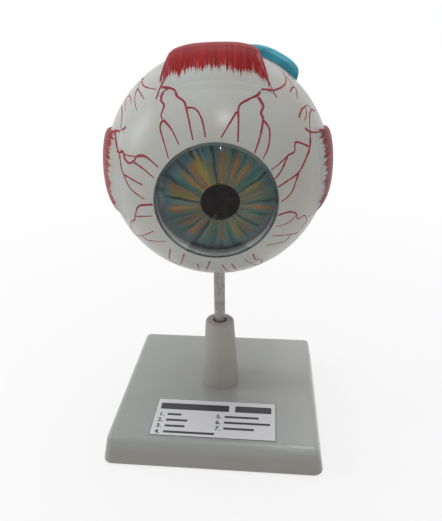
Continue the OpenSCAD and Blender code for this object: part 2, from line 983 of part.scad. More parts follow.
base_shell();
bottom_cover();
cover_screws();
label_plate();
socket_column();
column_washer();
column_screw();
support_rod();
rod_bush();
sclera_rear();
choroid_rear();
retina();
yellow_spot();
optic_nerve();
nerve_sheath();
central_artery();
central_vein();
superior_rectus();
inferior_rectus();
lateral_rectus();
medial_rectus();
superior_oblique();
inferior_oblique();
sclera_front();
superior_tendon();
inferior_tendon();
lateral_tendon();
medial_tendon();
cornea();
iris();
ciliary_ring();
zonule_ring();
choroid_front();
lens();
vitreous_body();
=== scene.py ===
"""Finish of the eye anatomy model: paint, plastics, steel, the painted vessels and the label.

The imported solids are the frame. This script dresses them, adds what is only paint or print,
and sets the photograph's camera, a pale floor and plain studio light.
"""
import json
import logging
import math
import random
from dataclasses import dataclass, field, replace
from enum import Enum
from functools import cached_property
from typing import Callable, Iterable, Sequence, Union

import bmesh
import bpy
from mathutils import Euler, Matrix, Vector
from mathutils.bvhtree import BVHTree

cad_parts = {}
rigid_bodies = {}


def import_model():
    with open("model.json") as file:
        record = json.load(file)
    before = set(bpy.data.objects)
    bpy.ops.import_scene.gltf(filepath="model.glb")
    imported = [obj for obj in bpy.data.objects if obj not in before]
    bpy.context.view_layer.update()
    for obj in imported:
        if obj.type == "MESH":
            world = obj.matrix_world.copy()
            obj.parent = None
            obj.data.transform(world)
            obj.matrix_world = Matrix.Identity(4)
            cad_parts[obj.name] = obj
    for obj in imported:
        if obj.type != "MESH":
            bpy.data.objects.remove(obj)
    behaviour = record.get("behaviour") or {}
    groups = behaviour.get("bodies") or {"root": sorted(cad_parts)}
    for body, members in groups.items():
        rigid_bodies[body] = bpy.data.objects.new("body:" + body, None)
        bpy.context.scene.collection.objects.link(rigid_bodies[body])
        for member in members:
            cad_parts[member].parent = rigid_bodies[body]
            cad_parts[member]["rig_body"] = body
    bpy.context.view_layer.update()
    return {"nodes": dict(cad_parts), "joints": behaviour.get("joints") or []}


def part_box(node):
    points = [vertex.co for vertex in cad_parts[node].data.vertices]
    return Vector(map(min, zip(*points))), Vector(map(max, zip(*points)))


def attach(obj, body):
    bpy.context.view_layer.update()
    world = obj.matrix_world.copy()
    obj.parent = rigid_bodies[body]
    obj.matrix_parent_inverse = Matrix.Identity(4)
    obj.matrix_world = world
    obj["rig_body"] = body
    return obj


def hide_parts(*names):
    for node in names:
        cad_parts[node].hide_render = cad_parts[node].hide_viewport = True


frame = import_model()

LOG = logging.getLogger("eye_model")
MM = 0.001

Socket = bpy.types.NodeSocket
Value = Union[Socket, float, Sequence[float]]
Colour = tuple[float, float, float]
Pixel = tuple[float, float]
Chain = Sequence[tuple[Vector, float]]


def link(name: str, data: bpy.types.ID) -> bpy.types.Object:
    """Object with this data, in the scene.

    Args:
        name: The object's name.
        data: Its mesh, curve, lamp or camera.

    Returns:
        The new object.
    """
    thing = bpy.data.objects.new(name, data)
    bpy.context.scene.collection.objects.link(thing)
    return thing


def ring(steps: int) -> list[Vector]:
    """Points of the unit circle in the plane of x and y."""
    turns = (2 * math.pi * i / steps for i in range(steps))
    return [Vector((math.cos(turn), math.sin(turn), 0.0)) for turn in turns]


# ---------------------------------------------------------------- places


@dataclass(frozen=True)
class EyeAxes:
    """The eyeball's own axes: x to the nose side, y up, z forwards, in millimetres."""

    radius: float = 71.0
    opening: float = 34.5
    seam: float = 14.0
    gaze_down: float = 6.0
    yaw: float = 4.3

    @cached_property
    def centre(self) -> Vector:
        """Centre of the ball in the row frame, in metres.

        Returns:
            A point.
        """
        low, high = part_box("sclera_rear")
        axis = next(j for j in frame["joints"] if j["name"] == "eye_turn")["pos_m"]
        return Vector((axis[0], axis[1], high.z - self.radius * MM))

    def euler(self, gaze: bool = False) -> Euler:
        """Turn from the eye's own axes to the row frame, along the gaze if asked."""
        tilt = self.gaze_down if gaze else 0.0
        return Euler((math.radians(90 + tilt), 0.0, math.radians(self.yaw)))

    def to_row(self, point: Vector, gaze: bool = False) -> Vector:
        """Point in the row frame, in metres, from one in the eye's axes in millimetres."""
        return self.centre + self.euler(gaze).to_matrix() @ (point * MM)

    def from_row(self, point: Vector, gaze: bool = False) -> Vector:
        """Point in the eye's axes, in millimetres, from one in the row frame."""
        return self.euler(gaze).to_matrix().transposed() @ (point - self.centre) / MM


EYE = EyeAxes()


@dataclass(frozen=True)
class Viewpoint:
    """The photograph's camera, as a pinhole."""

    place: Vector = Vector((0.03327, -0.3387, 0.27767))
    yaw: float = -5.32
    pitch: float = -24.31
    roll: float = -0.57
    focal_px: float = 535.2
    width: int = 442
    height: int = 521
    sensor: float = 36.0
    clip: tuple[float, float] = (0.01, 20.0)

    def axes(self) -> tuple[Vector, Vector, Vector]:
        """Right, up and forward directions of the picture in the row frame.

        Returns:
            Three unit vectors.
        """
        yaw, pitch, roll = (math.radians(a) for a in (self.yaw, self.pitch, self.roll))
        level = math.cos(pitch)
        forward = Vector((math.sin(yaw) * level, math.cos(yaw) * level, math.sin(pitch)))
        right = Vector((math.cos(yaw), -math.sin(yaw), 0.0))
        up = right.cross(forward)
        turned_right = right * math.cos(roll) + up * math.sin(roll)
        turned_up = up * math.cos(roll) - right * math.sin(roll)
        return turned_right, turned_up, forward

    def ray(self, pixel: Pixel) -> Vector:
        """Direction in which a pixel of the photograph looks.

        Args:
            pixel: Column and row in the photograph's own frame.

        Returns:
            A unit vector in the row frame.
        """
        right, up, forward = self.axes()
        across = (pixel[0] - self.width / 2) / self.focal_px
        down = (pixel[1] - self.height / 2) / self.focal_px
        return (forward + right * across - up * down).normalized()

    def build(self) -> None:
        """Make the camera and set it on the scene."""
        data = bpy.data.cameras.new("camera")
        data.sensor_width = self.sensor
        data.lens = self.focal_px * self.sensor / self.height
        data.clip_start, data.clip_end = self.clip
        camera = link("camera", data)
        right, up, forward = self.axes()
        camera.matrix_world = Matrix.Translation(self.place) @ Matrix(
            (right, up, -forward)).transposed().to_4x4()
        bpy.context.scene.camera = camera


VIEW = Viewpoint()


# ---------------------------------------------------------------- node trees


class Net:
    """A node tree, with short ways to add to it."""

    def __init__(self, tree: bpy.types.NodeTree) -> None:
        """Keep the tree that the methods add to."""
        self.tree = tree

    def add(self, kind: str, inputs: dict[Union[str, int], Value] | None = None,
            **settings: object) -> bpy.types.Node:
        """Add a node.

        Args:
            kind: The node's type name.
            inputs: Values or sockets for its inputs, by name or by place.
            settings: Properties of the node itself.

        Returns:
            The new node.
        """
        node = self.tree.nodes.new(kind)
        for name, setting in settings.items():
            setattr(node, name, setting)
        for key, value in (inputs or {}).items():
            self.feed(node.inputs[key], value)
        return node

    def feed(self, socket: Socket, value: Value) -> None:
        """Link a socket to an input, or set the input's own value.

        Args:
            socket: The input.
            value: A socket, or a value of the input's own kind.
        """
        if isinstance(value, bpy.types.NodeSocket):
            self.tree.links.new(value, socket)
        elif socket.type == "RGBA" and len(value) == 3:
            socket.default_value = (*value, 1.0)
        else:
            socket.default_value = value

    def math(self, operation: str, a: Value, b: Value = 0.0, c: Value = 0.0) -> Socket:
        """Result of one Math node."""
        return self.add("ShaderNodeMath", {0: a, 1: b, 2: c}, operation=operation).outputs[0]

    def times(self, a: Value, b: Value) -> Socket:
        """Product of two numbers."""
        return self.math("MULTIPLY", a, b)

    def minus(self, a: Value, b: Value) -> Socket:
        """First number less the second."""
        return self.math("SUBTRACT", a, b)

    def madd(self, a: Value, b: Value, c: Value) -> Socket:
        """Product of the first two numbers plus the third."""
        return self.math("MULTIPLY_ADD", a, b, c)

    def hypot(self, a: Socket, b: Socket) -> Socket:
        """Length of the arrow with these two parts."""
        return self.math("SQRT", self.madd(a, a, self.times(b, b)))

    def length(self, vector: Value) -> Socket:
        """Length of a vector."""
        return self.add("ShaderNodeVectorMath", {0: vector}, operation="LENGTH").outputs["Value"]

    def between(self, value: Value, low: Value, high: Value, start: Value = 0.0,
                end: Value = 1.0) -> Socket:
        """Smooth step of value from low to high, as a number from start to end."""
        given = {"Value": value, "From Min": low, "From Max": high, "To Min": start, "To Max": end}
        return self.add("ShaderNodeMapRange", given, interpolation_type="SMOOTHSTEP").outputs["Result"]

    def between_linear(self, value: Value, low: float, high: float) -> Socket:
        """Straight map of value from low to high onto 0 to 1, without a clamp."""
        given = {"Value": value, "From Min": low, "From Max": high}
        return self.add("ShaderNodeMapRange", given, clamp=False).outputs["Result"]

    def mix(self, share: Value, a: Value, b: Value) -> Socket:
        """Mix of two colours.

        Args:
            share: Share of the second colour.
            a: The first colour.
            b: The second colour.

        Returns:
            The mixed colour.
        """
        node = self.add("ShaderNodeMix", data_type="RGBA", clamp_factor=True)
        for socket, value in zip((node.inputs[0], node.inputs[6], node.inputs[7]), (share, a, b)):
            self.feed(socket, value)
        return node.outputs[2]

    def noise(self, vector: Value, scale: Value, detail: float = 3.0, rough: float = 0.55,
              twist: float = 0.0) -> Socket:
        """Grey noise from 0 to 1."""
        node = self.add("ShaderNodeTexNoise", {"Vector": vector, "Scale": scale, "Detail": detail,
                                               "Roughness": rough, "Distortion": twist})
        return node.outputs[0]

    def ramp(self, share: Value, stops: Sequence[tuple[float, Colour]]) -> Socket:
        """Colour ramp through the given stops.

        Args:
            share: Place on the ramp, from 0 to 1.
            stops: Each stop's place and colour, in order.

        Returns:
            The colour there.
        """
        node = self.add("ShaderNodeValToRGB", {0: share})
        points = node.color_ramp.elements
        while len(points) < len(stops):
            points.new(0.5)
        for point, (place, colour) in zip(points, stops):
            point.position = place
            point.color = (*colour, 1.0)
        return node.outputs[0]

    def parts(self, vector: Value) -> tuple[Socket, Socket, Socket]:
        """X, Y and Z of a vector."""
        node = self.add("ShaderNodeSeparateXYZ", {0: vector})
        return node.outputs[0], node.outputs[1], node.outputs[2]

    def vector(self, x: Value, y: Value, z: Value) -> Socket:
        """Vector of three numbers."""
        return self.add("ShaderNodeCombineXYZ", {0: x, 1: y, 2: z}).outputs[0]

    def scaled(self, vector: Value, scale: Sequence[float]) -> Socket:
        """Vector with each part multiplied."""
        node = self.add("ShaderNodeVectorMath", {0: vector, 1: scale}, operation="MULTIPLY")
        return node.outputs[0]

    def group(self, tree: bpy.types.NodeTree, **inputs: Value) -> bpy.types.Node:
        """Place a node group and set its inputs; an underscore in a name stands for a space.

        Args:
            tree: The group.
            inputs: Values or sockets, by input name.

        Returns:
            The new node.
        """
        node = self.add("ShaderNodeGroup", node_tree=tree)
        for name, value in inputs.items():
            self.feed(node.inputs[name.replace("_", " ")], value)
        return node

    def row_mm(self) -> Socket:
        """Place on the object in the row frame, in millimetres."""
        place = self.add("ShaderNodeTexCoord").outputs["Object"]
        return self.scaled(place, (1 / MM,) * 3)

    def eye_mm(self, gaze: bool = False) -> Socket:
        """Place in the eye's own axes, in millimetres.

        Args:
            gaze: Whether z runs along the gaze.

        Returns:
            The place as a vector.
        """
        place = self.add("ShaderNodeTexCoord").outputs["Object"]
        axes = {"Vector": place, "Location": EYE.centre, "Rotation": EYE.euler(gaze), "Scale": (MM,) * 3}
        return self.add("ShaderNodeMapping", axes, vector_type="TEXTURE").outputs[0]

    def bump(self, height: Value, strength: float, distance: float = 0.3) -> Socket:
        """Normal from a height, with the distance in millimetres."""
        return self.add("ShaderNodeBump", {"Height": height, "Strength": strength,
                                           "Distance": distance * MM}).outputs[0]


def effect(name: str, inputs: dict[str, Union[float, Colour, None]], outputs: Iterable[str],
           body: Callable[[Net, dict[str, Socket]], dict[str, Socket]]) -> bpy.types.NodeTree:
    """Build a shader node group once.

    Args:
        name: Name of the group.
        inputs: Each input's name and default: a number, a colour, or None for a vector.
        outputs: Names of the outputs; one that starts with Colour is a colour.
        body: Fills the group, given its input sockets, and returns its output sockets.

    Returns:
        The node group.
    """
    if name in bpy.data.node_groups:
        return bpy.data.node_groups[name]
    tree = bpy.data.node_groups.new(name, "ShaderNodeTree")
    for label, default in inputs.items():
        kind = ("NodeSocketVector" if default is None
                else "NodeSocketFloat" if isinstance(default, (int, float)) else "NodeSocketColor")
        socket = tree.interface.new_socket(name=label, in_out="INPUT", socket_type=kind)
        if default is not None:
            socket.default_value = default if isinstance(default, (int, float)) else (*default, 1.0)
    for label in outputs:
        kind = "NodeSocketColor" if label.startswith("Colour") else "NodeSocketFloat"
        tree.interface.new_socket(name=label, in_out="OUTPUT", socket_type=kind)
    net = Net(tree)
    start = net.add("NodeGroupInput")
    end = net.add("NodeGroupOutput")
    made = body(net, {label: start.outputs[label] for label in inputs})
    for label, socket in made.items():
        net.feed(end.inputs[label], socket)
    return tree


def grain_effect() -> bpy.types.NodeTree:
    """Fine grain of a moulded or brushed-on surface, and the soft blotches in its tone.

    Returns:
        The node group.
    """

    def body(net: Net, given: dict[str, Socket]) -> dict[str, Socket]:
        """A fine noise for the height and a broad, bent one for the blotches.

        Args:
            net: The group's tree.
            given: Its input sockets.

        Returns:
            Its output sockets, by name.
        """
        fine = net.noise(given["Vector"], given["Fine"], 4.0, 0.6)
        broad = net.noise(given["Vector"], given["Broad"], 3.0, 0.5, 0.4)
        return {"Height": fine, "Blotch": net.between(broad, 0.32, 0.68)}

    return effect("surface_grain", {"Vector": None, "Fine": 1.5, "Broad": 0.05}, ("Height", "Blotch"), body)


def grain(net: Net, place: Socket, fine: float, broad: float) -> tuple[Socket, Socket]:
    """Height and blotches of a surface's grain at a place, by the scales of the two noises."""
    node = net.group(grain_effect(), Vector=place, Fine=fine, Broad=broad)
    return node.outputs["Height"], node.outputs["Blotch"]


def streak_effect() -> bpy.types.NodeTree:
    """Strokes of a brush that all run one way; the vector is already squeezed along them.

    Returns:
        The node group.
    """

    def body(net: Net, given: dict[str, Socket]) -> dict[str, Socket]:
        """Fine strokes and broad ones, half and half.

        Args:
            net: The group's tree.
            given: Its input sockets.

        Returns:
            Its output sockets, by name.
        """
        fine = net.noise(given["Vector"], given["Fine"], 2.0, 0.6)
        broad = net.noise(given["Vector"], net.times(given["Fine"], 0.3), 2.0, 0.5)
        both = net.madd(broad, 0.5, net.times(fine, 0.5))
        return {"Stroke": net.between(both, 0.36, 0.64), "Height": fine}

    return effect("brush_strokes", {"Vector": None, "Fine": 1.0}, ("Stroke", "Height"), body)


def strokes(net: Net, squeezed: Socket, fine: float) -> tuple[Socket, Socket]:
    """Tone and height of brush strokes in squeezed coordinates."""
    node = net.group(streak_effect(), Vector=squeezed, Fine=fine)
    return node.outputs["Stroke"], node.outputs["Height"]


def scuff_effect() -> bpy.types.NodeTree:
    """Fine scratches and rubbed patches, as a mask.

    Returns:
        The node group.
    """

    def body(net: Net, given: dict[str, Socket]) -> dict[str, Socket]:
        """Thin lines in two directions, kept where a broad noise is high.

        Args:
            net: The group's tree.
            given: Its input sockets.

        Returns:
            Its output sockets, by name.
        """
        lines = [net.noise(net.scaled(given["Vector"], stretch), 0.35, 2.0, 0.5, 0.6)
                 for stretch in ((1.0, 9.0, 4.0), (8.0, 1.2, 5.0))]
        thin = [net.between(line, 0.70, 0.76) for line in lines]
        patch = net.between(net.noise(given["Vector"], 0.035, 2.0), 0.45, 0.7)
        scratch = net.times(net.math("MAXIMUM", thin[0], thin[1]), patch)
        return {"Scratch": scratch, "Rub": patch}

    return effect("scuffs", {"Vector": None}, ("Scratch", "Rub"), body)


def petal_effect() -> bpy.types.NodeTree:
    """One painted petal of the iris, an ellipse in angle and reach, over what is below it.

    Returns:
        The node group.
    """

    def body(net: Net, given: dict[str, Socket]) -> dict[str, Socket]:
        """The petal's tint over the colour below, soft at its edge.

        Args:
            net: The group's tree.
            given: Its input sockets.

        Returns:
            Its output sockets, by name.
        """
        turn = net.math("WRAP", net.minus(given["Angle"], given["Direction"]), math.pi, -math.pi)
        across = net.math("DIVIDE", turn, given["Half width"])
        middle = net.times(net.math("ADD", given["From"], given["To"]), 0.5)
        half = net.times(net.minus(given["To"], given["From"]), 0.5)
        along = net.math("DIVIDE", net.minus(given["Reach"], middle), half)
        away = net.hypot(across, along)
        mask = net.between(away, 0.55, 1.08, 1.0, 0.0)
        share = net.times(mask, given["Strength"])
        return {"Colour": net.mix(share, given["Below"], given["Tint"])}

    black = (0.0, 0.0, 0.0)
    return effect("iris_petal", {"Below": black, "Tint": black, "Angle": 0.0, "Reach": 0.0,
                                 "Direction": 0.0, "Half width": 0.1, "From": 0.0, "To": 1.0,
                                 "Strength": 0.9}, ("Colour",), body)


# ---------------------------------------------------------------- finishes


@dataclass(frozen=True)
class Finish:
    """A finish that covers a whole piece. Each kind says how its colour is laid on."""

    name: str

    def build(self) -> bpy.types.Material:
        """Make the material, or fetch it if it is made already.

        Returns:
            The material.
        """
        if self.name in bpy.data.materials:
            return bpy.data.materials[self.name]
        material = bpy.data.materials.new(self.name)
        material.use_nodes = True
        net = Net(material.node_tree)
        shader = material.node_tree.nodes["Principled BSDF"]
        self.set(net, shader, **self.dress(net))
        self.close(net, shader)
        return material

    def dress(self, net: Net) -> dict[str, Value]:
        """Inputs of the shader by name, with underscores for spaces; each finish has its own."""
        raise NotImplementedError

    def close(self, net: Net, shader: bpy.types.Node) -> None:
        """Add what stands behind the shader; most finishes have nothing there."""

    @staticmethod
    def set(net: Net, shader: bpy.types.Node, **inputs: Value) -> None:
        """Set or link inputs of the shader; an underscore in a name stands for a space."""
        for name, value in inputs.items():
            net.feed(shader.inputs[name.replace("_", " ")], value)


@dataclass(frozen=True)
class MouldedPlastic(Finish):
    """Satin moulded plastic with fine grain, soft blotches and light scuffs."""

    colour: Colour
    rough: float = 0.42
    blotch: float = 0.035
    grain: float = 0.12
    fine: float = 1.6
    wear: float = 1.0
    coat: float = 0.0

    def dress(self, net: Net) -> dict[str, Value]:
        """Blotched colour, scuffs that show pale, and a grain in the surface.

        Args:
            net: The material's tree.

        Returns:
            The shader's values, by input name.
        """
        place = net.row_mm()
        height, blotch = grain(net, place, self.fine, 0.035)
        scuff = net.group(scuff_effect(), Vector=place)
        shares = (1 - self.blotch, 1 + self.blotch)
        dark, light = (tuple(c * share for c in self.colour) for share in shares)
        tone = self.shade(net, place, net.mix(blotch, dark, light))
        scratch = net.times(scuff.outputs["Scratch"], 0.35 * self.wear)
        pale = net.mix(scratch, tone, (0.72, 0.72, 0.70))
        rough = net.madd(scuff.outputs["Rub"], 0.12 * self.wear, self.rough)
        return dict(Base_Color=pale, Roughness=rough, Specular_IOR_Level=0.4,
                    Coat_Weight=self.coat, Coat_Roughness=0.1,
                    Normal=net.bump(height, self.grain, 0.15))

    def shade(self, net: Net, place: Socket, tone: Socket) -> Socket:
        """Change of tone with place; plain plastic has none."""
        return tone


@dataclass(frozen=True)
class BasePlastic(MouldedPlastic):
    """The base's plastic: browner, darker walls towards the foot, and a paler top towards one side that is
    painted light.
    """

    wall_top: float = 15.0
    foot_tone: Colour = (0.295, 0.270, 0.245)
    lit_side_tone: Colour = (0.410, 0.420, 0.405)

    def shade(self, net: Net, place: Socket, tone: Socket) -> Socket:
        """Browner towards the foot; paler on the top towards one side, a painted light.

        Args:
            net: The material's tree.
            place: Place in the row frame, in millimetres.
            tone: The colour so far.

        Returns:
            The shaded colour.
        """
        x, _, z = net.parts(place)
        # patchy mask for the darker, browner tone of the walls towards the foot
        worn = net.between(net.noise(place, 0.02, 2.0), 0.35, 0.65, 0.7, 1.0)
        foot = net.times(net.between(z, self.wall_top + 3.0, self.wall_top - 6.0), worn)
        tone = net.mix(net.times(foot, 0.85), tone, self.foot_tone)
        # painted light: the top is paler towards the side the light falls on
        lit_side = net.times(net.between(x, 15.0, 65.0), net.between(z, self.wall_top, self.wall_top + 4.0))
        return net.mix(net.times(lit_side, 0.9), tone, self.lit_side_tone)


@dataclass(frozen=True)
class ShellPaint(Finish):
    """White gloss paint of the eyeball, a little uneven, yellowed in places."""

    colour: Colour = (0.470, 0.480, 0.460)
    warm: Colour = (0.455, 0.440, 0.400)
    speck: Colour = (0.36, 0.33, 0.29)
    lit_wall: Colour = (0.82, 0.83, 0.80)
    lit_wall_z: tuple[float, float] = (42.0, 44.0)
    scales: tuple[float, float] = (0.55, 0.03)

    def dress(self, net: Net) -> dict[str, Value]:
        """Two close tones with specks, and the wall inside the cornea's opening painted bright as painted
        light.

        Args:
            net: The material's tree.

        Returns:
            The shader's values, by input name.
        """
        place = net.eye_mm()
        height, blotch = grain(net, place, *self.scales)
        rub = net.group(scuff_effect(), Vector=place)
        tone = net.mix(blotch, self.warm, self.colour)
        specks = net.between(net.noise(place, 1.1, 2.0), 0.73, 0.78, 0.0, 0.35)
        tone = net.mix(specks, tone, self.speck)
        rough = net.madd(rub.outputs["Rub"], 0.03, 0.30)
        # painted light: the wall inside the cornea's opening is painted far paler than the shell, where
        # little light reaches
        x, y, z = net.parts(net.eye_mm(gaze=True))
        away = net.hypot(x, y)
        inside = net.between(away, EYE.opening + 0.15, EYE.opening - 0.1)
        tone = net.mix(net.times(inside, net.between(z, *self.lit_wall_z)), tone, self.lit_wall)
        return dict(Base_Color=tone, Roughness=rough, Specular_IOR_Level=0.25,
                    Normal=net.bump(height, 0.06, 0.25))


class Run(Enum):
    """The way a muscle's brush strokes run: how each eye axis is squeezed for the stroke noise."""

    UPRIGHT = (1.0, 0.0, 0.012)
    SIDEWAYS = (0.0, 1.0, 0.012)
    AROUND = (0.12, 0.12, 1.0)


@dataclass(frozen=True)
class MusclePaint(Finish):
    """Red brushed paint, streaked pale and dark along the muscle."""

    run: Run = Run.UPRIGHT
    deep: Colour = (0.190, 0.004, 0.006)
    bright: Colour = (0.330, 0.008, 0.011)
    pale: Colour = (0.42, 0.070, 0.075)

    def red(self, net: Net, place: Socket) -> tuple[Socket, Socket]:
        """Streaked red and the strokes' height at a place in the eye's axes.

        Args:
            net: The material's tree.
            place: Place in the eye's axes, in millimetres.

        Returns:
            The colour and the height.
        """
        squeezed = net.scaled(place, self.run.value)
        tone, height = strokes(net, squeezed, 1.15)
        _, fine = strokes(net, squeezed, 2.9)
        colour = net.mix(tone, self.deep, self.bright)
        hair = net.times(net.between(fine, 0.62, 0.76), 0.5)
        return net.mix(hair, colour, self.pale), height

    def dress(self, net: Net) -> dict[str, Value]:
        """Red all over."""
        colour, height = self.red(net, net.eye_mm())
        return dict(Base_Color=colour, Roughness=0.36, Specular_IOR_Level=0.02,
                    Normal=net.bump(height, 0.25, 0.25))


@dataclass(frozen=True)
class TendonPaint(MusclePaint):
    """Red near the seam that frays forwards into the white of the insertion.

    The fringe lies at z = edge and is fray deep; slant and sag shift it across the strap, and
    white hairs reach streaked millimetres back into the red.
    """

    edge: float = 34.0
    fray: float = 9.0
    slant: float = 0.0
    sag: float = 0.0
    streaked: float = 9.0
    white: ShellPaint = field(default_factory=lambda: ShellPaint("tendon_white"))

    def dress(self, net: Net) -> dict[str, Value]:
        """White paint with a red end whose fringe follows the strokes.

        Args:
            net: The material's tree.

        Returns:
            The shader's values, by input name.
        """
        place = net.eye_mm()
        red, height = self.red(net, place)
        x, y, ahead = net.parts(place)
        squeezed = net.scaled(place, self.run.value)
        fringe = net.noise(squeezed, 1.35, 3.0, 0.75)
        slow = net.noise(squeezed, 0.12, 1.0)
        reach = net.madd(net.minus(fringe, 0.5), self.fray * 2.2, self.edge)
        reach = net.madd(net.minus(slow, 0.5), self.fray * 0.8, reach)
        across = x if self.run is Run.UPRIGHT else y
        tilt = net.times(across, net.madd(across, -self.sag, self.slant))
        reach = net.math("ADD", reach, tilt)
        behind = net.minus(reach, ahead)
        hair = net.between(net.noise(squeezed, 2.2, 2.0, 0.7), 0.56, 0.68, 0.0, 0.85)
        bare = net.times(net.between(behind, self.streaked, 0.5), hair)
        cover = net.times(net.between(behind, -0.4, 0.9), net.minus(1.0, bare))
        _, blotch = grain(net, place, *self.white.scales)
        white = net.mix(blotch, self.white.warm, self.white.colour)
        lift = net.times(net.math("ADD", height, 0.3), cover)
        return dict(Base_Color=net.mix(cover, white, red), Roughness=0.33, Specular_IOR_Level=0.05,
                    Normal=net.bump(lift, 0.3, 0.25))


@dataclass(frozen=True)
class PlainPaint(Finish):
    """Brush-laid paint of one hue, with a darker and a lighter tone."""

    colour: Colour = (0.5, 0.5, 0.5)
    dark: Colour = (0.3, 0.3, 0.3)
    rough: float = 0.4
    coat: float = 0.2
    scale: float = 0.10
    relief: float = 0.2

    def dress(self, net: Net) -> dict[str, Value]:
        """Blotches from dark to the full colour, with the brush's relief.

        Args:
            net: The material's tree.

        Returns:
            The shader's values, by input name.
        """
        height, blotch = grain(net, net.eye_mm(), 0.8, self.scale)
        tone = net.mix(blotch, self.dark, self.colour)
        return dict(Base_Color=tone, Roughness=self.rough, Coat_Weight=self.coat, Coat_Roughness=0.2,
                    Normal=net.bump(height, self.relief, 0.3))


@dataclass(frozen=True)
class ObliquePaint(Finish):
    """Teal gloss paint with strokes that run round the ball, and a painted highlight: a lighter tone on the
    band's crest.
    """

    colour: Colour = (0.034, 0.340, 0.455)
    light: Colour = (0.062, 0.440, 0.560)
    dark: Colour = (0.019, 0.205, 0.285)

    def dress(self, net: Net) -> dict[str, Value]:
        """Strokes of teal, paler where the band bulges most, as a painted highlight.

        Args:
            net: The material's tree.

        Returns:
            The shader's values, by input name.
        """
        place = net.eye_mm()
        stroke, height = strokes(net, net.scaled(place, Run.AROUND.value), 0.55)
        # painted highlight: paler on the crest of the band, where light falls on it
        away = net.length(place)
        crest_highlight = net.between(away, EYE.radius + 3.0, EYE.radius + 8.5)
        tone = net.mix(stroke, self.dark, self.colour)
        tone = net.mix(net.times(crest_highlight, 0.6), tone, self.light)
        return dict(Base_Color=tone, Roughness=0.3, Specular_IOR_Level=0.25,
                    Normal=net.bump(height, 0.25, 0.3))


@dataclass(frozen=True)
class ClearPlastic(Finish):
    """Clear moulded plastic that lets lamps through to what is behind it."""

    tint: Colour = (0.97, 0.985, 0.985)
    index: float = 1.28
    gleam: Colour = (0.50, 0.48, 0.52)
    rough: float = 0.0

    def dress(self, net: Net) -> dict[str, Value]:
        """Plain glass with a toned-down gleam."""
        return dict(Base_Color=self.tint, Roughness=self.rough, IOR=self.index, Transmission_Weight=1.0,
                    Specular_Tint=self.gleam)

    def close(self, net: Net, shader: bpy.types.Node) -> None:
        """See-through side for the lamps' rays.

        Args:
            net: The material's tree.
            shader: The material's main shader.
        """
        rays = net.add("ShaderNodeLightPath")
        film = net.add("ShaderNodeBsdfTransparent", {"Color": self.tint})
        lamps = net.math("MAXIMUM", rays.outputs["Is Shadow Ray"], rays.outputs["Is Diffuse Ray"])
        both = net.add("ShaderNodeMixShader", {0: lamps, 1: shader.outputs[0], 2: film.outputs[0]})
        end = next(n for n in net.tree.nodes if n.type == "OUTPUT_MATERIAL")
        net.feed(end.inputs["Surface"], both.outputs[0])


@dataclass(frozen=True)
class Petal:
    """A painted petal of the iris, by direction and half width in degrees and its reach from the pupil."""

    direction: float
    half_width: float
    start: float
    end: float
    tint: Colour
    strength: float


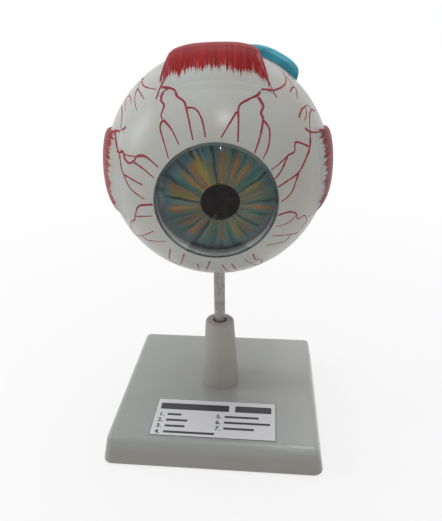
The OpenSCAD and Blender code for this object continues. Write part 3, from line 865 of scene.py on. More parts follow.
OCHRE: Colour = (0.345, 0.225, 0.026)
ORANGE: Colour = (0.365, 0.145, 0.032)
BROWN: Colour = (0.230, 0.125, 0.055)
ROSE: Colour = (0.170, 0.088, 0.070)
OLIVE: Colour = (0.165, 0.150, 0.065)
SAND: Colour = (0.210, 0.165, 0.090)
GREEN: Colour = (0.040, 0.150, 0.115)
TEAL: Colour = (0.055, 0.165, 0.200)
INK: Colour = (0.012, 0.022, 0.022)
MAUVE: Colour = (0.070, 0.045, 0.055)
# painted reflection: whitish patches at the iris's left edge and upper right, where the cornea mirrors the
# window
REFLECTION_HAZE: Colour = (0.275, 0.345, 0.355)
# painted shade: dark teal near the iris's upper edges, under the shell's overhang
EDGE_SHADE: Colour = (0.016, 0.065, 0.078)
PetalRow = tuple[float, float, float, float, Colour, float]
PETALS: tuple[PetalRow, ...] = (
    (130, 9, 0.05, 0.95, TEAL, 0.8), (150, 11, 0.0, 0.62, GREEN, 0.9), (40, 9, -0.1, 0.60, GREEN, 0.9),
    (-3, 8, 0.1, 0.85, GREEN, 0.7), (78, 7, 0.0, 0.80, GREEN, 0.7), (61, 6, 0.0, 0.75, GREEN, 0.7),
    (-75, 6, 0.0, 0.85, GREEN, 0.8), (-101, 7, 0.0, 0.85, GREEN, 0.8), (-160, 5, 0.1, 0.80, GREEN, 0.8),
    (-138, 6, 0.1, 0.75, GREEN, 0.8), (-22, 7, 0.1, 0.80, GREEN, 0.7), (42, 8, 0.66, 1.02, REFLECTION_HAZE, 0.8),
    (-178, 10, 0.80, 1.08, REFLECTION_HAZE, 0.7), (165, 9, 0.84, 1.08, REFLECTION_HAZE, 0.5), (106, 10, -0.1, 0.62, OLIVE, 0.9),
    (126, 12, -0.15, 0.72, ORANGE, 0.9), (117, 7, -0.05, 0.80, OCHRE, 0.95),
    (121, 3, 0.1, 0.70, OCHRE, 0.9), (86, 9, -0.15, 0.80, BROWN, 0.95), (87, 4.5, 0.0, 0.74, ORANGE, 0.9),
    (79, 5, 0.05, 0.70, OLIVE, 0.8), (68, 8, -0.15, 0.76, BROWN, 0.95), (68, 4, 0.05, 0.72, ORANGE, 0.9),
    (52, 8, -0.15, 0.72, BROWN, 0.9), (52, 4, 0.1, 0.70, ORANGE, 0.7), (20, 13, -0.15, 0.66, OLIVE, 0.95),
    (8, 10, -0.1, 0.74, SAND, 0.8), (24, 5, 0.1, 0.55, OCHRE, 0.35), (-12, 7, -0.15, 0.84, SAND, 0.9),
    (-12, 3.5, 0.15, 0.80, ORANGE, 0.85), (-31, 7, -0.1, 0.78, SAND, 0.7), (-30, 3, 0.3, 0.80, BROWN, 0.8),
    (-50, 8, -0.15, 0.72, SAND, 0.9), (-47, 3, 0.15, 0.76, ORANGE, 0.6), (-64, 8, -0.15, 0.78, OLIVE, 0.95),
    (-66, 4, 0.0, 0.74, OCHRE, 0.6), (-89, 7, -0.15, 0.76, SAND, 0.95), (-90, 3.5, 0.1, 0.72, BROWN, 0.7),
    (-109, 6, -0.15, 0.66, OLIVE, 0.85), (-128, 9, -0.15, 0.76, BROWN, 0.9),
    (-131, 4.5, 0.1, 0.80, ORANGE, 0.9), (-148, 9, -0.15, 0.78, BROWN, 0.85),
    (-149, 4.5, 0.2, 0.76, ROSE, 0.95), (-144, 3, 0.1, 0.72, ORANGE, 0.7),
    (-168, 9, -0.15, 0.86, BROWN, 0.9), (-167, 6, 0.05, 0.82, ORANGE, 0.9),
    (-169, 3, 0.15, 0.72, OCHRE, 0.9), (170, 9, -0.15, 0.82, OCHRE, 0.95), (162, 5, 0.1, 0.88, ORANGE, 0.9),
    (172, 4, -0.1, 0.70, OCHRE, 0.8), (143, 5, -0.15, 0.72, ORANGE, 0.9), (137, 2.5, 0.4, 0.95, MAUVE, 0.9),
)
SPOKES: tuple[PetalRow, ...] = (
    (98, 2.6, -0.35, 1.15, INK, 1.0), (177, 3.0, -0.35, 0.90, INK, 1.0), (30, 2.6, -0.35, 1.08, INK, 0.95),
    (-119, 3.6, -0.25, 1.0, INK, 1.0), (-39, 2.8, -0.3, 0.85, INK, 0.9), (121, 2.2, 0.55, 1.10, MAUVE, 1.0),
    (114, 1.8, 0.3, 1.10, INK, 0.6), (74, 2.2, 0.55, 1.05, MAUVE, 0.9), (-89, 2.2, 0.55, 1.05, MAUVE, 0.9),
    (-3, 1.8, 0.0, 1.0, INK, 0.7), (156, 2.2, 0.30, 0.95, INK, 0.8), (9, 4.0, 0.78, 1.05, MAUVE, 1.0),
    (-22, 1.8, 0.2, 0.95, INK, 0.6), (-57, 2.0, 0.1, 0.95, INK, 0.6), (-76, 1.8, 0.0, 0.95, INK, 0.55),
    (108, 2.0, 0.60, 1.05, INK, 0.6), (-157, 1.8, 0.1, 0.95, INK, 0.6), (-137, 1.8, 0.0, 0.90, INK, 0.6),
    (60, 1.6, 0.1, 0.80, INK, 0.5), (135, 1.6, 0.0, 0.8, INK, 0.5), (22, 9.0, 0.80, 1.12, EDGE_SHADE, 0.9),
    (148, 12.0, 0.86, 1.12, EDGE_SHADE, 0.7), (-99, 1.8, 0.1, 0.95, INK, 0.5), (-47, 1.6, 0.6, 1.0, MAUVE, 0.7),
)


@dataclass(frozen=True)
class IrisPaint(Finish):
    """Hand-painted iris: teal ground, petals round the pupil and dark spokes."""

    green: Colour = (0.085, 0.165, 0.130)
    green_share: float = 0.40
    edge: float = 36.3
    pupil: float = 11.0
    pupil_x: float = 2.3
    pupil_y: float = -0.6
    rim: Colour = (0.012, 0.030, 0.032)
    line: Colour = (0.02, 0.035, 0.035)
    ground: tuple[tuple[float, Colour], ...] = (
        (0.0, (0.130, 0.120, 0.070)), (0.22, (0.130, 0.175, 0.105)), (0.50, (0.095, 0.210, 0.190)),
        (0.80, (0.105, 0.190, 0.225)), (1.0, (0.050, 0.100, 0.120)))

    def dress(self, net: Net) -> dict[str, Value]:
        """Ground by reach, then petals and spokes on a warped angle, some of them painted reflection and
        painted shade, then a dark rim that is partly painted shade.

        Args:
            net: The material's tree.

        Returns:
            The shader's values, by input name.
        """
        x, y, z = net.parts(net.eye_mm(gaze=True))
        dx = net.minus(x, self.pupil_x)
        dy = net.minus(y, self.pupil_y)
        from_pupil = net.hypot(dx, dy)
        from_axis = net.hypot(x, y)
        reach = net.between_linear(from_pupil, self.pupil, self.edge)
        angle = net.math("ARCTAN2", dy, dx)
        flat = net.vector(dx, dy, 0.0)
        wander = net.minus(net.noise(flat, 0.11, 2.0), 0.5)
        angle = net.madd(wander, 0.11, angle)
        wave = net.minus(net.noise(flat, 0.22, 2.0), 0.5)
        reach = net.madd(wave, 0.12, reach)
        around = net.vector(net.math("COSINE", angle), net.math("SINE", angle), net.times(reach, 0.12))
        stroke, height = strokes(net, around, 9.0)
        colour = net.ramp(reach, self.ground)
        for petal in (Petal(*row) for row in (*PETALS, *SPOKES)):
            node = net.group(petal_effect(), Below=colour, Tint=petal.tint, Angle=angle, Reach=reach,
                             Direction=math.radians(petal.direction),
                             Half_width=math.radians(petal.half_width),
                             From=petal.start, To=petal.end, Strength=petal.strength)
            colour = node.outputs["Colour"]
        tufts, _ = strokes(net, net.scaled(around, (1.0, 1.0, 3.0)), 15.0)
        colour = net.mix(net.times(tufts, self.green_share), colour, self.green)
        lines = net.times(net.minus(1.0, stroke), 0.42)
        colour = net.mix(lines, colour, self.line)
        # a dark rim at the iris's edge, partly a painted shade of the gap round it
        colour = net.mix(net.between(from_axis, self.edge - 4.5, self.edge - 0.6), colour, self.rim)
        return dict(Base_Color=colour, Roughness=0.5, Specular_IOR_Level=0.12,
                    Normal=net.bump(height, 0.3, 0.3))


@dataclass(frozen=True)
class GalvanisedSteel(Finish):
    """Zinc-coated rod, mottled grey with a few dull and rusty patches."""

    greys: tuple[tuple[float, Colour], ...] = (
        (0.15, (0.21, 0.205, 0.19)), (0.45, (0.29, 0.285, 0.265)), (0.85, (0.355, 0.35, 0.33)))
    rust: Colour = (0.16, 0.10, 0.06)

    def dress(self, net: Net) -> dict[str, Value]:
        """Spangle of the zinc, drawn a little along the rod.

        Args:
            net: The material's tree.

        Returns:
            The shader's values, by input name.
        """
        place = net.row_mm()
        drawn = net.scaled(place, (1.0, 1.0, 0.45))
        cells = net.add("ShaderNodeTexVoronoi", {"Vector": drawn, "Scale": 0.75})
        spangle = net.parts(cells.outputs["Color"])[0]
        cloud = net.noise(net.scaled(place, (1.0, 1.0, 0.4)), 0.45, 4.0, 0.7)
        tone = net.ramp(net.madd(spangle, 0.35, net.times(cloud, 0.75)), self.greys)
        rust = net.between(net.noise(place, 0.5, 4.0, 0.7), 0.64, 0.72, 0.0, 0.55)
        tone = net.mix(rust, tone, self.rust)
        rough = net.between(cloud, 0.3, 0.7, 0.55, 0.34)
        metal = net.between(rust, 0.0, 0.5, 0.75, 0.2)
        return dict(Base_Color=tone, Metallic=metal, Roughness=rough, Normal=net.bump(cloud, 0.3, 0.15))


@dataclass(frozen=True)
class TurnedMetal(Finish):
    """Turned or plated small metal part with fine rings of the tool."""

    colour: Colour = (0.60, 0.60, 0.61)
    rough: float = 0.32

    def dress(self, net: Net) -> dict[str, Value]:
        """Fine rings in the surface and a soft tarnish.

        Args:
            net: The material's tree.

        Returns:
            The shader's values, by input name.
        """
        place = net.row_mm()
        rings = net.noise(net.scaled(place, (0.3, 0.3, 6.0)), 1.0, 2.0)
        cloud = net.noise(place, 0.3, 3.0)
        dull = tuple(c * 0.72 for c in self.colour)
        tone = net.mix(net.between(cloud, 0.35, 0.7), dull, self.colour)
        rough = net.between(cloud, 0.3, 0.7, self.rough + 0.12, self.rough)
        return dict(Base_Color=tone, Metallic=1.0, Roughness=rough, Normal=net.bump(rings, 0.2, 0.05))


@dataclass(frozen=True)
class Hardboard(Finish):
    """Pressed brown board with fine fibres."""

    def dress(self, net: Net) -> dict[str, Value]:
        """Fibres in two tones with the screen's fine relief.

        Args:
            net: The material's tree.

        Returns:
            The shader's values, by input name.
        """
        place = net.row_mm()
        fibre = net.noise(net.scaled(place, (1.0, 0.25, 1.0)), 1.3, 4.0, 0.7, 1.2)
        cloud = net.noise(place, 0.04, 3.0)
        tone = net.mix(net.between(fibre, 0.35, 0.65), (0.115, 0.075, 0.042), (0.215, 0.150, 0.090))
        tone = net.mix(net.between(cloud, 0.4, 0.7, 0.0, 0.4), tone, (0.10, 0.068, 0.04))
        return dict(Base_Color=tone, Roughness=0.72, Normal=net.bump(fibre, 0.4, 0.2))


@dataclass(frozen=True)
class LabelPaper(Finish):
    """White label stock, matt, with a thin dark line round its edge."""

    half_w: float
    half_d: float
    middle_y: float
    paper: tuple[Colour, Colour] = ((0.67, 0.67, 0.70), (0.76, 0.76, 0.785))
    border: Colour = (0.10, 0.10, 0.11)

    def dress(self, net: Net) -> dict[str, Value]:
        """Paper fibre and the printed border line.

        Args:
            net: The material's tree.

        Returns:
            The shader's values, by input name.
        """
        place = net.row_mm()
        x, y, _ = net.parts(place)
        in_x = net.minus(self.half_w, net.math("ABSOLUTE", x))
        in_y = net.minus(self.half_d, net.math("ABSOLUTE", net.minus(y, self.middle_y)))
        inside = net.math("MINIMUM", in_x, in_y)
        line = net.between(inside, 0.25, 0.45, 1.0, 0.0)
        fibre = net.noise(place, 1.8, 4.0, 0.7)
        paper = net.mix(fibre, *self.paper)
        return dict(Base_Color=net.mix(line, paper, self.border), Roughness=0.5,
                    Normal=net.bump(fibre, 0.1, 0.05))


@dataclass(frozen=True)
class Print(Finish):
    """Printing ink on the label, with paper showing through in specks."""

    colour: Colour = (0.035, 0.035, 0.04)
    worn: Colour = (0.4, 0.4, 0.42)

    def dress(self, net: Net) -> dict[str, Value]:
        """Nearly even ink."""
        specks = net.between(net.noise(net.row_mm(), 4.0, 2.0), 0.62, 0.75, 0.0, 0.5)
        return dict(Base_Color=net.mix(specks, self.colour, self.worn), Roughness=0.5)


@dataclass(frozen=True)
class RetinaPaint(Finish):
    """Orange-red inside of the eye, dark round the yellow spot."""

    colours: tuple[Colour, Colour] = ((0.36, 0.095, 0.030), (0.50, 0.165, 0.060))
    dark: Colour = (0.22, 0.035, 0.015)

    def dress(self, net: Net) -> dict[str, Value]:
        """Mottled orange with a darker field at the back.

        Args:
            net: The material's tree.

        Returns:
            The shader's values, by input name.
        """
        place = net.eye_mm()
        height, blotch = grain(net, place, 0.9, 0.16)
        tone = net.mix(blotch, *self.colours)
        spot = {0: place, 1: (0.0, 0.0, -EYE.radius + 10)}
        away = net.add("ShaderNodeVectorMath", spot, operation="DISTANCE").outputs["Value"]
        shade = net.between(away, 4.0, 17.0, 0.55, 0.0)
        tone = net.mix(shade, tone, self.dark)
        return dict(Base_Color=tone, Roughness=0.4, Coat_Weight=0.2, Coat_Roughness=0.2,
                    Normal=net.bump(height, 0.2, 0.3))


@dataclass(frozen=True)
class RetinaVessel(Finish):
    """Gloss paint of the retina's vessels."""

    tone: Colour
    pale: Colour = (0.42, 0.16, 0.08)

    def dress(self, net: Net) -> dict[str, Value]:
        """The tone, thinner in places."""
        thin = net.between(net.noise(net.eye_mm(), 0.3, 2.0), 0.5, 0.75, 0.0, 0.4)
        return dict(Base_Color=net.mix(thin, self.tone, self.pale), Roughness=0.35)


@dataclass(frozen=True)
class VesselPaint(Finish):
    """Thin dark-red paint of the vessels."""

    colour: Colour = (0.270, 0.022, 0.035)
    pale: Colour = (0.33, 0.09, 0.095)

    def dress(self, net: Net) -> dict[str, Value]:
        """Paint that thins out here and there along the line."""
        thin = net.between(net.noise(net.eye_mm(), 0.22, 3.0), 0.48, 0.72, 0.0, 0.7)
        return dict(Base_Color=net.mix(thin, self.colour, self.pale), Roughness=0.4,
                    Specular_IOR_Level=0.2)


# ---------------------------------------------------------------- helpers for pieces


def dress(finish: Finish, *nodes: str) -> None:
    """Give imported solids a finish, on every slot they have.

    Args:
        finish: The finish.
        nodes: Names of the solids.
    """
    material = finish.build()
    for name in nodes:
        mesh = frame["nodes"][name].data
        if not mesh.materials:
            mesh.materials.append(material)
        for place in range(len(mesh.materials)):
            mesh.materials[place] = material
        LOG.info("%s: %s", name, finish.name)


WELD = 1e-6  # metres: corners closer than this are one
FLAT = 0.4  # degrees: faces bent less than this are run together


def plain_mesh(name: str, shape: bmesh.types.BMesh) -> bpy.types.Mesh:
    """Mesh of a shape, which is freed.

    Args:
        name: The mesh's name.
        shape: The shape; it can't be used afterwards.

    Returns:
        The mesh.
    """
    mesh = bpy.data.meshes.new(name)
    shape.to_mesh(mesh)
    shape.free()
    return mesh


def smooth_strap(name: str, finish: Finish, sharp: float = 40.0) -> None:
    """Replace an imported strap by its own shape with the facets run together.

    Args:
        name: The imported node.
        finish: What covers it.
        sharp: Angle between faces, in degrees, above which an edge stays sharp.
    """
    node = frame["nodes"][name]
    shape = bmesh.new()
    corners = [shape.verts.new(v.co) for v in node.data.vertices]
    shape.verts.index_update()
    for face in node.data.polygons:
        shape.faces.new([corners[i] for i in face.vertices])
    bmesh.ops.remove_doubles(shape, verts=shape.verts[:], dist=WELD)
    bmesh.ops.dissolve_limit(shape, angle_limit=math.radians(FLAT), verts=shape.verts[:],
                             edges=shape.edges[:])
    creases = shape.edges.layers.float.new("crease_edge")
    for edge in shape.edges:
        if len(edge.link_faces) == 2 and edge.calc_face_angle(0.0) > math.radians(sharp):
            edge[creases] = 1.0
    carrier = link(f"{name}_shape", plain_mesh(f"{name}_shape", shape))
    rounding = carrier.modifiers.new("round", "SUBSURF")
    rounding.levels = rounding.render_levels = 2
    mesh = applied(carrier)
    mesh.polygons.foreach_set("use_smooth", [True] * len(mesh.polygons))
    mesh.set_sharp_from_angle(angle=math.radians(sharp))
    piece = add_piece(f"{name}_shape", mesh, node["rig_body"], finish.build())
    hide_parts(name)


def add_piece(name: str, mesh: bpy.types.Mesh, body: str,
              material: bpy.types.Material | None = None) -> bpy.types.Object:
    """Put a finished mesh in the scene as a piece.

    Args:
        name: The piece's name.
        mesh: Its mesh, already in the row frame.
        body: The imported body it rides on.
        material: Its material, where the mesh has none yet.

    Returns:
        The new object.
    """
    piece = link(name, mesh)
    if material is not None:
        mesh.materials.clear()
        mesh.materials.append(material)
    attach(piece, body)
    LOG.info("%s: %d faces on %s", name, len(mesh.polygons), body)
    return piece


def applied(carrier: bpy.types.Object) -> bpy.types.Mesh:
    """Evaluated mesh of an object with its modifier, as a plain mesh; the carrier is removed.

    Args:
        carrier: The object, linked to the scene.

    Returns:
        The mesh.
    """
    bpy.context.view_layer.update()
    graph = bpy.context.evaluated_depsgraph_get()
    mesh = bpy.data.meshes.new_from_object(carrier.evaluated_get(graph), depsgraph=graph)
    carrier.modifiers.clear()
    bpy.data.objects.remove(carrier)
    return mesh


class GeometryRule:
    """A Geometry Nodes tree with named inputs, applied to a carrier mesh."""

    def __init__(self, name: str, inputs: dict[str, tuple[str, object]]) -> None:
        """Start the tree.

        Args:
            name: Name of the tree.
            inputs: Each input's name with its socket type and default.
        """
        self.tree = bpy.data.node_groups.new(name, "GeometryNodeTree")
        self.net = Net(self.tree)
        face = self.tree.interface
        face.new_socket(name="Geometry", in_out="INPUT", socket_type="NodeSocketGeometry")
        self.sockets = {}
        for label, (kind, default) in inputs.items():
            socket = face.new_socket(name=label, in_out="INPUT", socket_type=kind)
            if default is not None:
                socket.default_value = default
            self.sockets[label] = socket.identifier
        face.new_socket(name="Geometry", in_out="OUTPUT", socket_type="NodeSocketGeometry")
        self.given = self.net.add("NodeGroupInput").outputs

    def close(self, shape: Socket) -> None:
        """End the tree: realize what is instanced, then set the material.

        Args:
            shape: The finished geometry.
        """
        real = self.net.add("GeometryNodeRealizeInstances", {"Geometry": shape}).outputs[0]
        painted = self.net.add("GeometryNodeSetMaterial", {"Geometry": real,
                                                           "Material": self.given["Material"]})
        end = self.net.add("NodeGroupOutput")
        self.net.feed(end.inputs["Geometry"], painted.outputs[0])

    def apply(self, carrier: bpy.types.Object, **values: object) -> bpy.types.Mesh:
        """Run the tree on a carrier and return the plain mesh; an underscore stands for a space.

        Args:
            carrier: The object that the tree starts from; it is removed.
            values: The tree's inputs, by name.

        Returns:
            The mesh.
        """
        modifier = carrier.modifiers.new("rule", "NODES")
        modifier.node_group = self.tree
        for label, value in values.items():
            modifier[self.sockets[label.replace("_", " ")]] = value
        return applied(carrier)


def line_rule() -> GeometryRule:
    """Tree that lays a round bead of paint along each chain of edges, with a hand's uneven width.

    Returns:
        The tree with its named inputs.
    """
    rule = GeometryRule("painted_line", {
        "Material": ("NodeSocketMaterial", None), "Sides": ("NodeSocketInt", 8),
        "Unevenness": ("NodeSocketFloat", 0.3), "Grain": ("NodeSocketFloat", 300.0)})
    net, given = rule.net, rule.given
    width = net.add("GeometryNodeInputNamedAttribute", {"Name": "width"}, data_type="FLOAT").outputs[0]
    place = net.add("GeometryNodeInputPosition").outputs[0]
    noise = net.add("ShaderNodeTexNoise", {"Vector": place, "Scale": given["Grain"],
                                           "Detail": 1.0}).outputs[0]
    change = net.times(net.minus(noise, 0.5), given["Unevenness"])
    radius = net.times(width, net.madd(change, 2.0, 1.0))
    curve = net.add("GeometryNodeMeshToCurve", {"Mesh": given["Geometry"]}).outputs[0]
    outline = net.add("GeometryNodeCurvePrimitiveCircle", {"Resolution": given["Sides"],
                                                           "Radius": 1.0}).outputs[0]
    bead = net.add("GeometryNodeCurveToMesh", {"Curve": curve, "Profile Curve": outline, "Scale": radius,
                                               "Fill Caps": True}).outputs[0]
    smooth = net.add("GeometryNodeSetShadeSmooth", {"Geometry": bead}).outputs[0]
    rule.close(smooth)
    return rule


def chain_carrier(name: str, chains: Iterable[Chain], closed: bool = False) -> bpy.types.Object:
    """Mesh of edge chains, with each point's half width in the attribute that the tree reads.

    Args:
        name: Name of the carrier.
        chains: Each chain's points with the bead's radius there, in metres.
        closed: Whether each chain runs back to its start.

    Returns:
        An object in the scene that holds only edges.
    """
    points, edges, widths = [], [], []
    for chain in chains:
        first = len(points)
        points += [tuple(place) for place, radius in chain]
        widths += [radius for place, radius in chain]
        edges += [(i, i + 1) for i in range(first, len(points) - 1)]
        if closed:
            edges.append((len(points) - 1, first))
    mesh = bpy.data.meshes.new(name)
    mesh.from_pydata(points, edges, [])
    mesh.attributes.new("width", "FLOAT", "POINT").data.foreach_set("value", widths)
    return link(name, mesh)


LINES = line_rule()


def line_piece(name: str, chains: Iterable[Chain], finish: Finish, body: str, slot: str,
               closed: bool = False, **shape: float) -> None:
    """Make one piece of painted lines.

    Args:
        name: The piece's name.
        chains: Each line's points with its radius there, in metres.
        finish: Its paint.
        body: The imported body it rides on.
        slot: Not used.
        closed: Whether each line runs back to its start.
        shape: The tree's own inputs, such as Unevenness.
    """
    mesh = LINES.apply(chain_carrier(name, chains, closed), Material=finish.build(), **shape)
    add_piece(name, mesh, body)


def smooth_path(points: Sequence[Pixel], step: float) -> list[Pixel]:
    """Points of a smooth curve through the given ones, about a step apart.

    Args:
        points: Turning points of the line, in pixels.
        step: Distance between the points returned, in pixels.

    Returns:
        The curve's points, from the first to the last of the given ones.
    """
    ends = [points[0], *points, points[-1]]
    path = []
    for a, b, c, d in zip(ends, ends[1:], ends[2:], ends[3:]):
        count = max(2, round(math.dist(b, c) / step))
        for i in range(count):
            t = i / count
            path.append(tuple(0.5 * (2 * q + (r - p) * t + (2 * p - 5 * q + 4 * r - s) * t ** 2
                                     + (3 * q - p - 3 * r + s) * t ** 3) for p, q, r, s in zip(a, b, c, d)))
    path.append(points[-1])
    return path


# ---------------------------------------------------------------- painted vessels


@dataclass(frozen=True)
class Route:
    """A vessel that the photograph shows: its width in millimetres and its points in the picture."""

    width: float
    points: tuple[Pixel, ...]


OUTSIDE = 0.13  # metres from the ball's centre, clear of all that stands out from it
THICK, MIDDLE, THIN = 1.85, 1.40, 1.05

UPPER_LEFT = (
    Route(THICK, ((161, 87), (169.5, 88), (175, 90.5), (177, 96), (183.5, 101), (186, 107.5), (190, 126),
                  (193, 140.5))),
    Route(MIDDLE, ((186, 107.5), (195.5, 109), (202, 120), (205.5, 138))),
    Route(THICK, ((169.5, 88), (163, 92.5), (161, 100), (164, 105.5), (161, 115.5), (163, 119.5))),
    Route(MIDDLE, ((163, 119.5), (160, 127.5), (164, 142.5), (168.5, 159))),
    Route(MIDDLE, ((163, 119.5), (171.5, 129.5), (179, 145))),
    Route(THICK, ((168.5, 61), (164, 79.5), (159.5, 89), (156, 100))),
    Route(MIDDLE, ((144.5, 77.5), (142.5, 80), (142.6, 84.5), (147, 87.5), (156.5, 89.3))),
    Route(THIN, ((142.5, 80), (139.5, 84), (137.6, 88))),
    Route(THIN, ((137.6, 88), (135.3, 94.5), (134.7, 101.5), (136.7, 110.5))),
    Route(THIN, ((137.6, 88), (140.5, 93.5), (144.3, 99))),
)
UPPER_RIGHT = (
    Route(THICK, ((273, 90.5), (262, 89.5), (257.5, 95), (247, 100), (239, 106.5), (238.5, 122),
                  (238, 142.5))),
    Route(MIDDLE, ((237, 111), (228, 126), (221, 138))),
    Route(THICK, ((257.5, 96), (263, 105.5), (261, 113), (263, 119.5), (260, 137), (254.5, 153.5))),
    Route(MIDDLE, ((263, 119.5), (269.5, 129.5), (268.5, 146), (263, 159))),
    Route(MIDDLE, ((273, 90.5), (279.3, 88.3), (284.6, 84.6), (286, 79.8), (284.4, 75), (281, 71))),
    Route(THICK, ((257.5, 53.5), (264, 70.5), (272, 89), (277, 98))),
)
LEFT = (
    Route(THICK, ((115, 129.5), (116, 142.5), (119.5, 155.5), (122.5, 172), (129, 177.5), (142.5, 185))),
    Route(MIDDLE, ((122.5, 172), (130.5, 188.5), (144.5, 199.5))),
    Route(THICK, ((118.5, 153.5), (122.5, 151.5), (125, 159), (129, 163), (133.5, 161), (138, 155.5),
                  (145.5, 156.5), (158.5, 167.5))),
    Route(MIDDLE, ((133.5, 162), (143.5, 169), (154.5, 178.5))),
    Route(THIN, ((122, 150.5), (126, 155), (137, 156.5), (146, 157))),
    Route(THICK, ((126.5, 126.5), (122, 129.8), (117.5, 131), (113.2, 127.8))),
    Route(MIDDLE, ((121.6, 105), (122, 115.5), (120.6, 128.5))),
    Route(THIN, ((129.6, 95.2), (126.6, 98.5), (125.4, 104), (125.2, 111.5))),
    Route(THIN, ((129.2, 95.2), (130.6, 98.5), (131.3, 103.5))),
)
RIGHT = (
    Route(MIDDLE, ((309, 146.5), (296, 142), (294.5, 151.5), (288, 155.5), (278.5, 164.5), (271, 170))),
    Route(MIDDLE, ((288, 155.5), (280.5, 172), (273, 180.5))),
    Route(THICK, ((310, 129.5), (310, 146), (306.5, 157), (299, 172), (288, 180.5), (277.5, 187.5))),
    Route(MIDDLE, ((299, 172), (291.5, 192.5), (280.5, 202.5))),
    Route(THICK, ((304.5, 127.8), (309.5, 131.2), (314.5, 132.3), (320, 131.5))),
    Route(THIN, ((286.5, 76.5), (290.3, 81.8), (294, 86.6))),
    Route(MIDDLE, ((290.2, 92), (291.8, 88.2), (294.4, 87), (296.6, 91.5), (297.2, 99))),
    Route(MIDDLE, ((298.8, 118), (301.3, 110.5), (304, 107.3), (306.3, 110), (306, 116), (304.4, 121))),
    Route(THIN, ((304, 107.3), (307, 105.2), (310, 107.3), (311.6, 109.6))),
    Route(MIDDLE, ((315, 111.6), (312, 109.3), (310, 112.5), (309.5, 121), (310, 129.5))),
)
LOWER = (
    Route(MIDDLE, ((277.5, 215.5), (289.5, 212), (296, 213.5), (298, 219), (304.5, 215.5), (306.5, 221),
                  (299, 230.5))),
    Route(THIN, ((296, 215.5), (288, 223), (276, 226.5))),
    Route(THIN, ((299, 231), (295.5, 233.5), (286, 235), (272, 236))),
    Route(THIN, ((290.5, 235), (284, 241.5), (265.5, 245.5))),
    Route(MIDDLE, ((153, 204.5), (139, 206), (135.5, 214.5), (134.5, 220), (131, 222), (132.5, 230.5),
                  (140, 236), (154, 231))),
    Route(THIN, ((142.5, 236), (149, 240.5), (166, 241.5))),
    Route(THIN, ((135.5, 216.5), (153, 216))),
    Route(THIN, ((170.5, 249), (169.5, 259), (177, 263.5), (183.5, 268))),
    Route(THIN, ((184.5, 253.5), (180.5, 264.5))),
    Route(THIN, ((197.5, 263.5), (199, 270))),
    Route(THIN, ((210, 261), (206, 271))),
    Route(THIN, ((222, 264.5), (228, 271), (238, 271.5))),
    Route(THIN, ((231.5, 263.5), (237, 271))),
    Route(THIN, ((253, 253.5), (255.5, 259), (262, 260.5), (259, 264.5), (251, 263.5), (244.5, 259))),
)
SEEN_ROUTES = (*UPPER_LEFT, *UPPER_RIGHT, *LEFT, *RIGHT, *LOWER)


@dataclass(frozen=True)
class Touch:
    """Where a ray meets the painted surface: the point, its outward normal and the node."""

    point: Vector
    normal: Vector
    node: str


class Skin:
    """The surface that lines are painted on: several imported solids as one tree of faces."""

    def __init__(self, nodes: Sequence[str]) -> None:
        """Gather the faces of the named nodes.

        Args:
            nodes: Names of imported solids.
        """
        corners, faces, self.owner = [], [], []
        for name in nodes:
            mesh = frame["nodes"][name].data
            first = len(corners)
            corners += [v.co.copy() for v in mesh.vertices]
            faces += [tuple(first + i for i in p.vertices) for p in mesh.polygons]
            self.owner += [name] * len(mesh.polygons)
        self.tree = BVHTree.FromPolygons(corners, faces)

    def touch(self, start: Vector, heading: Vector) -> Touch | None:
        """First meeting of a ray with the surface.

        Args:
            start: Where the ray starts, in the row frame.
            heading: Its direction.

        Returns:
            The meeting point, or None where the ray misses.
        """
        point, normal, face, _ = self.tree.ray_cast(start, heading)
        if point is None:
            return None
        if normal.dot(heading) > 0:
            normal = -normal
        return Touch(point, normal, self.owner[face])


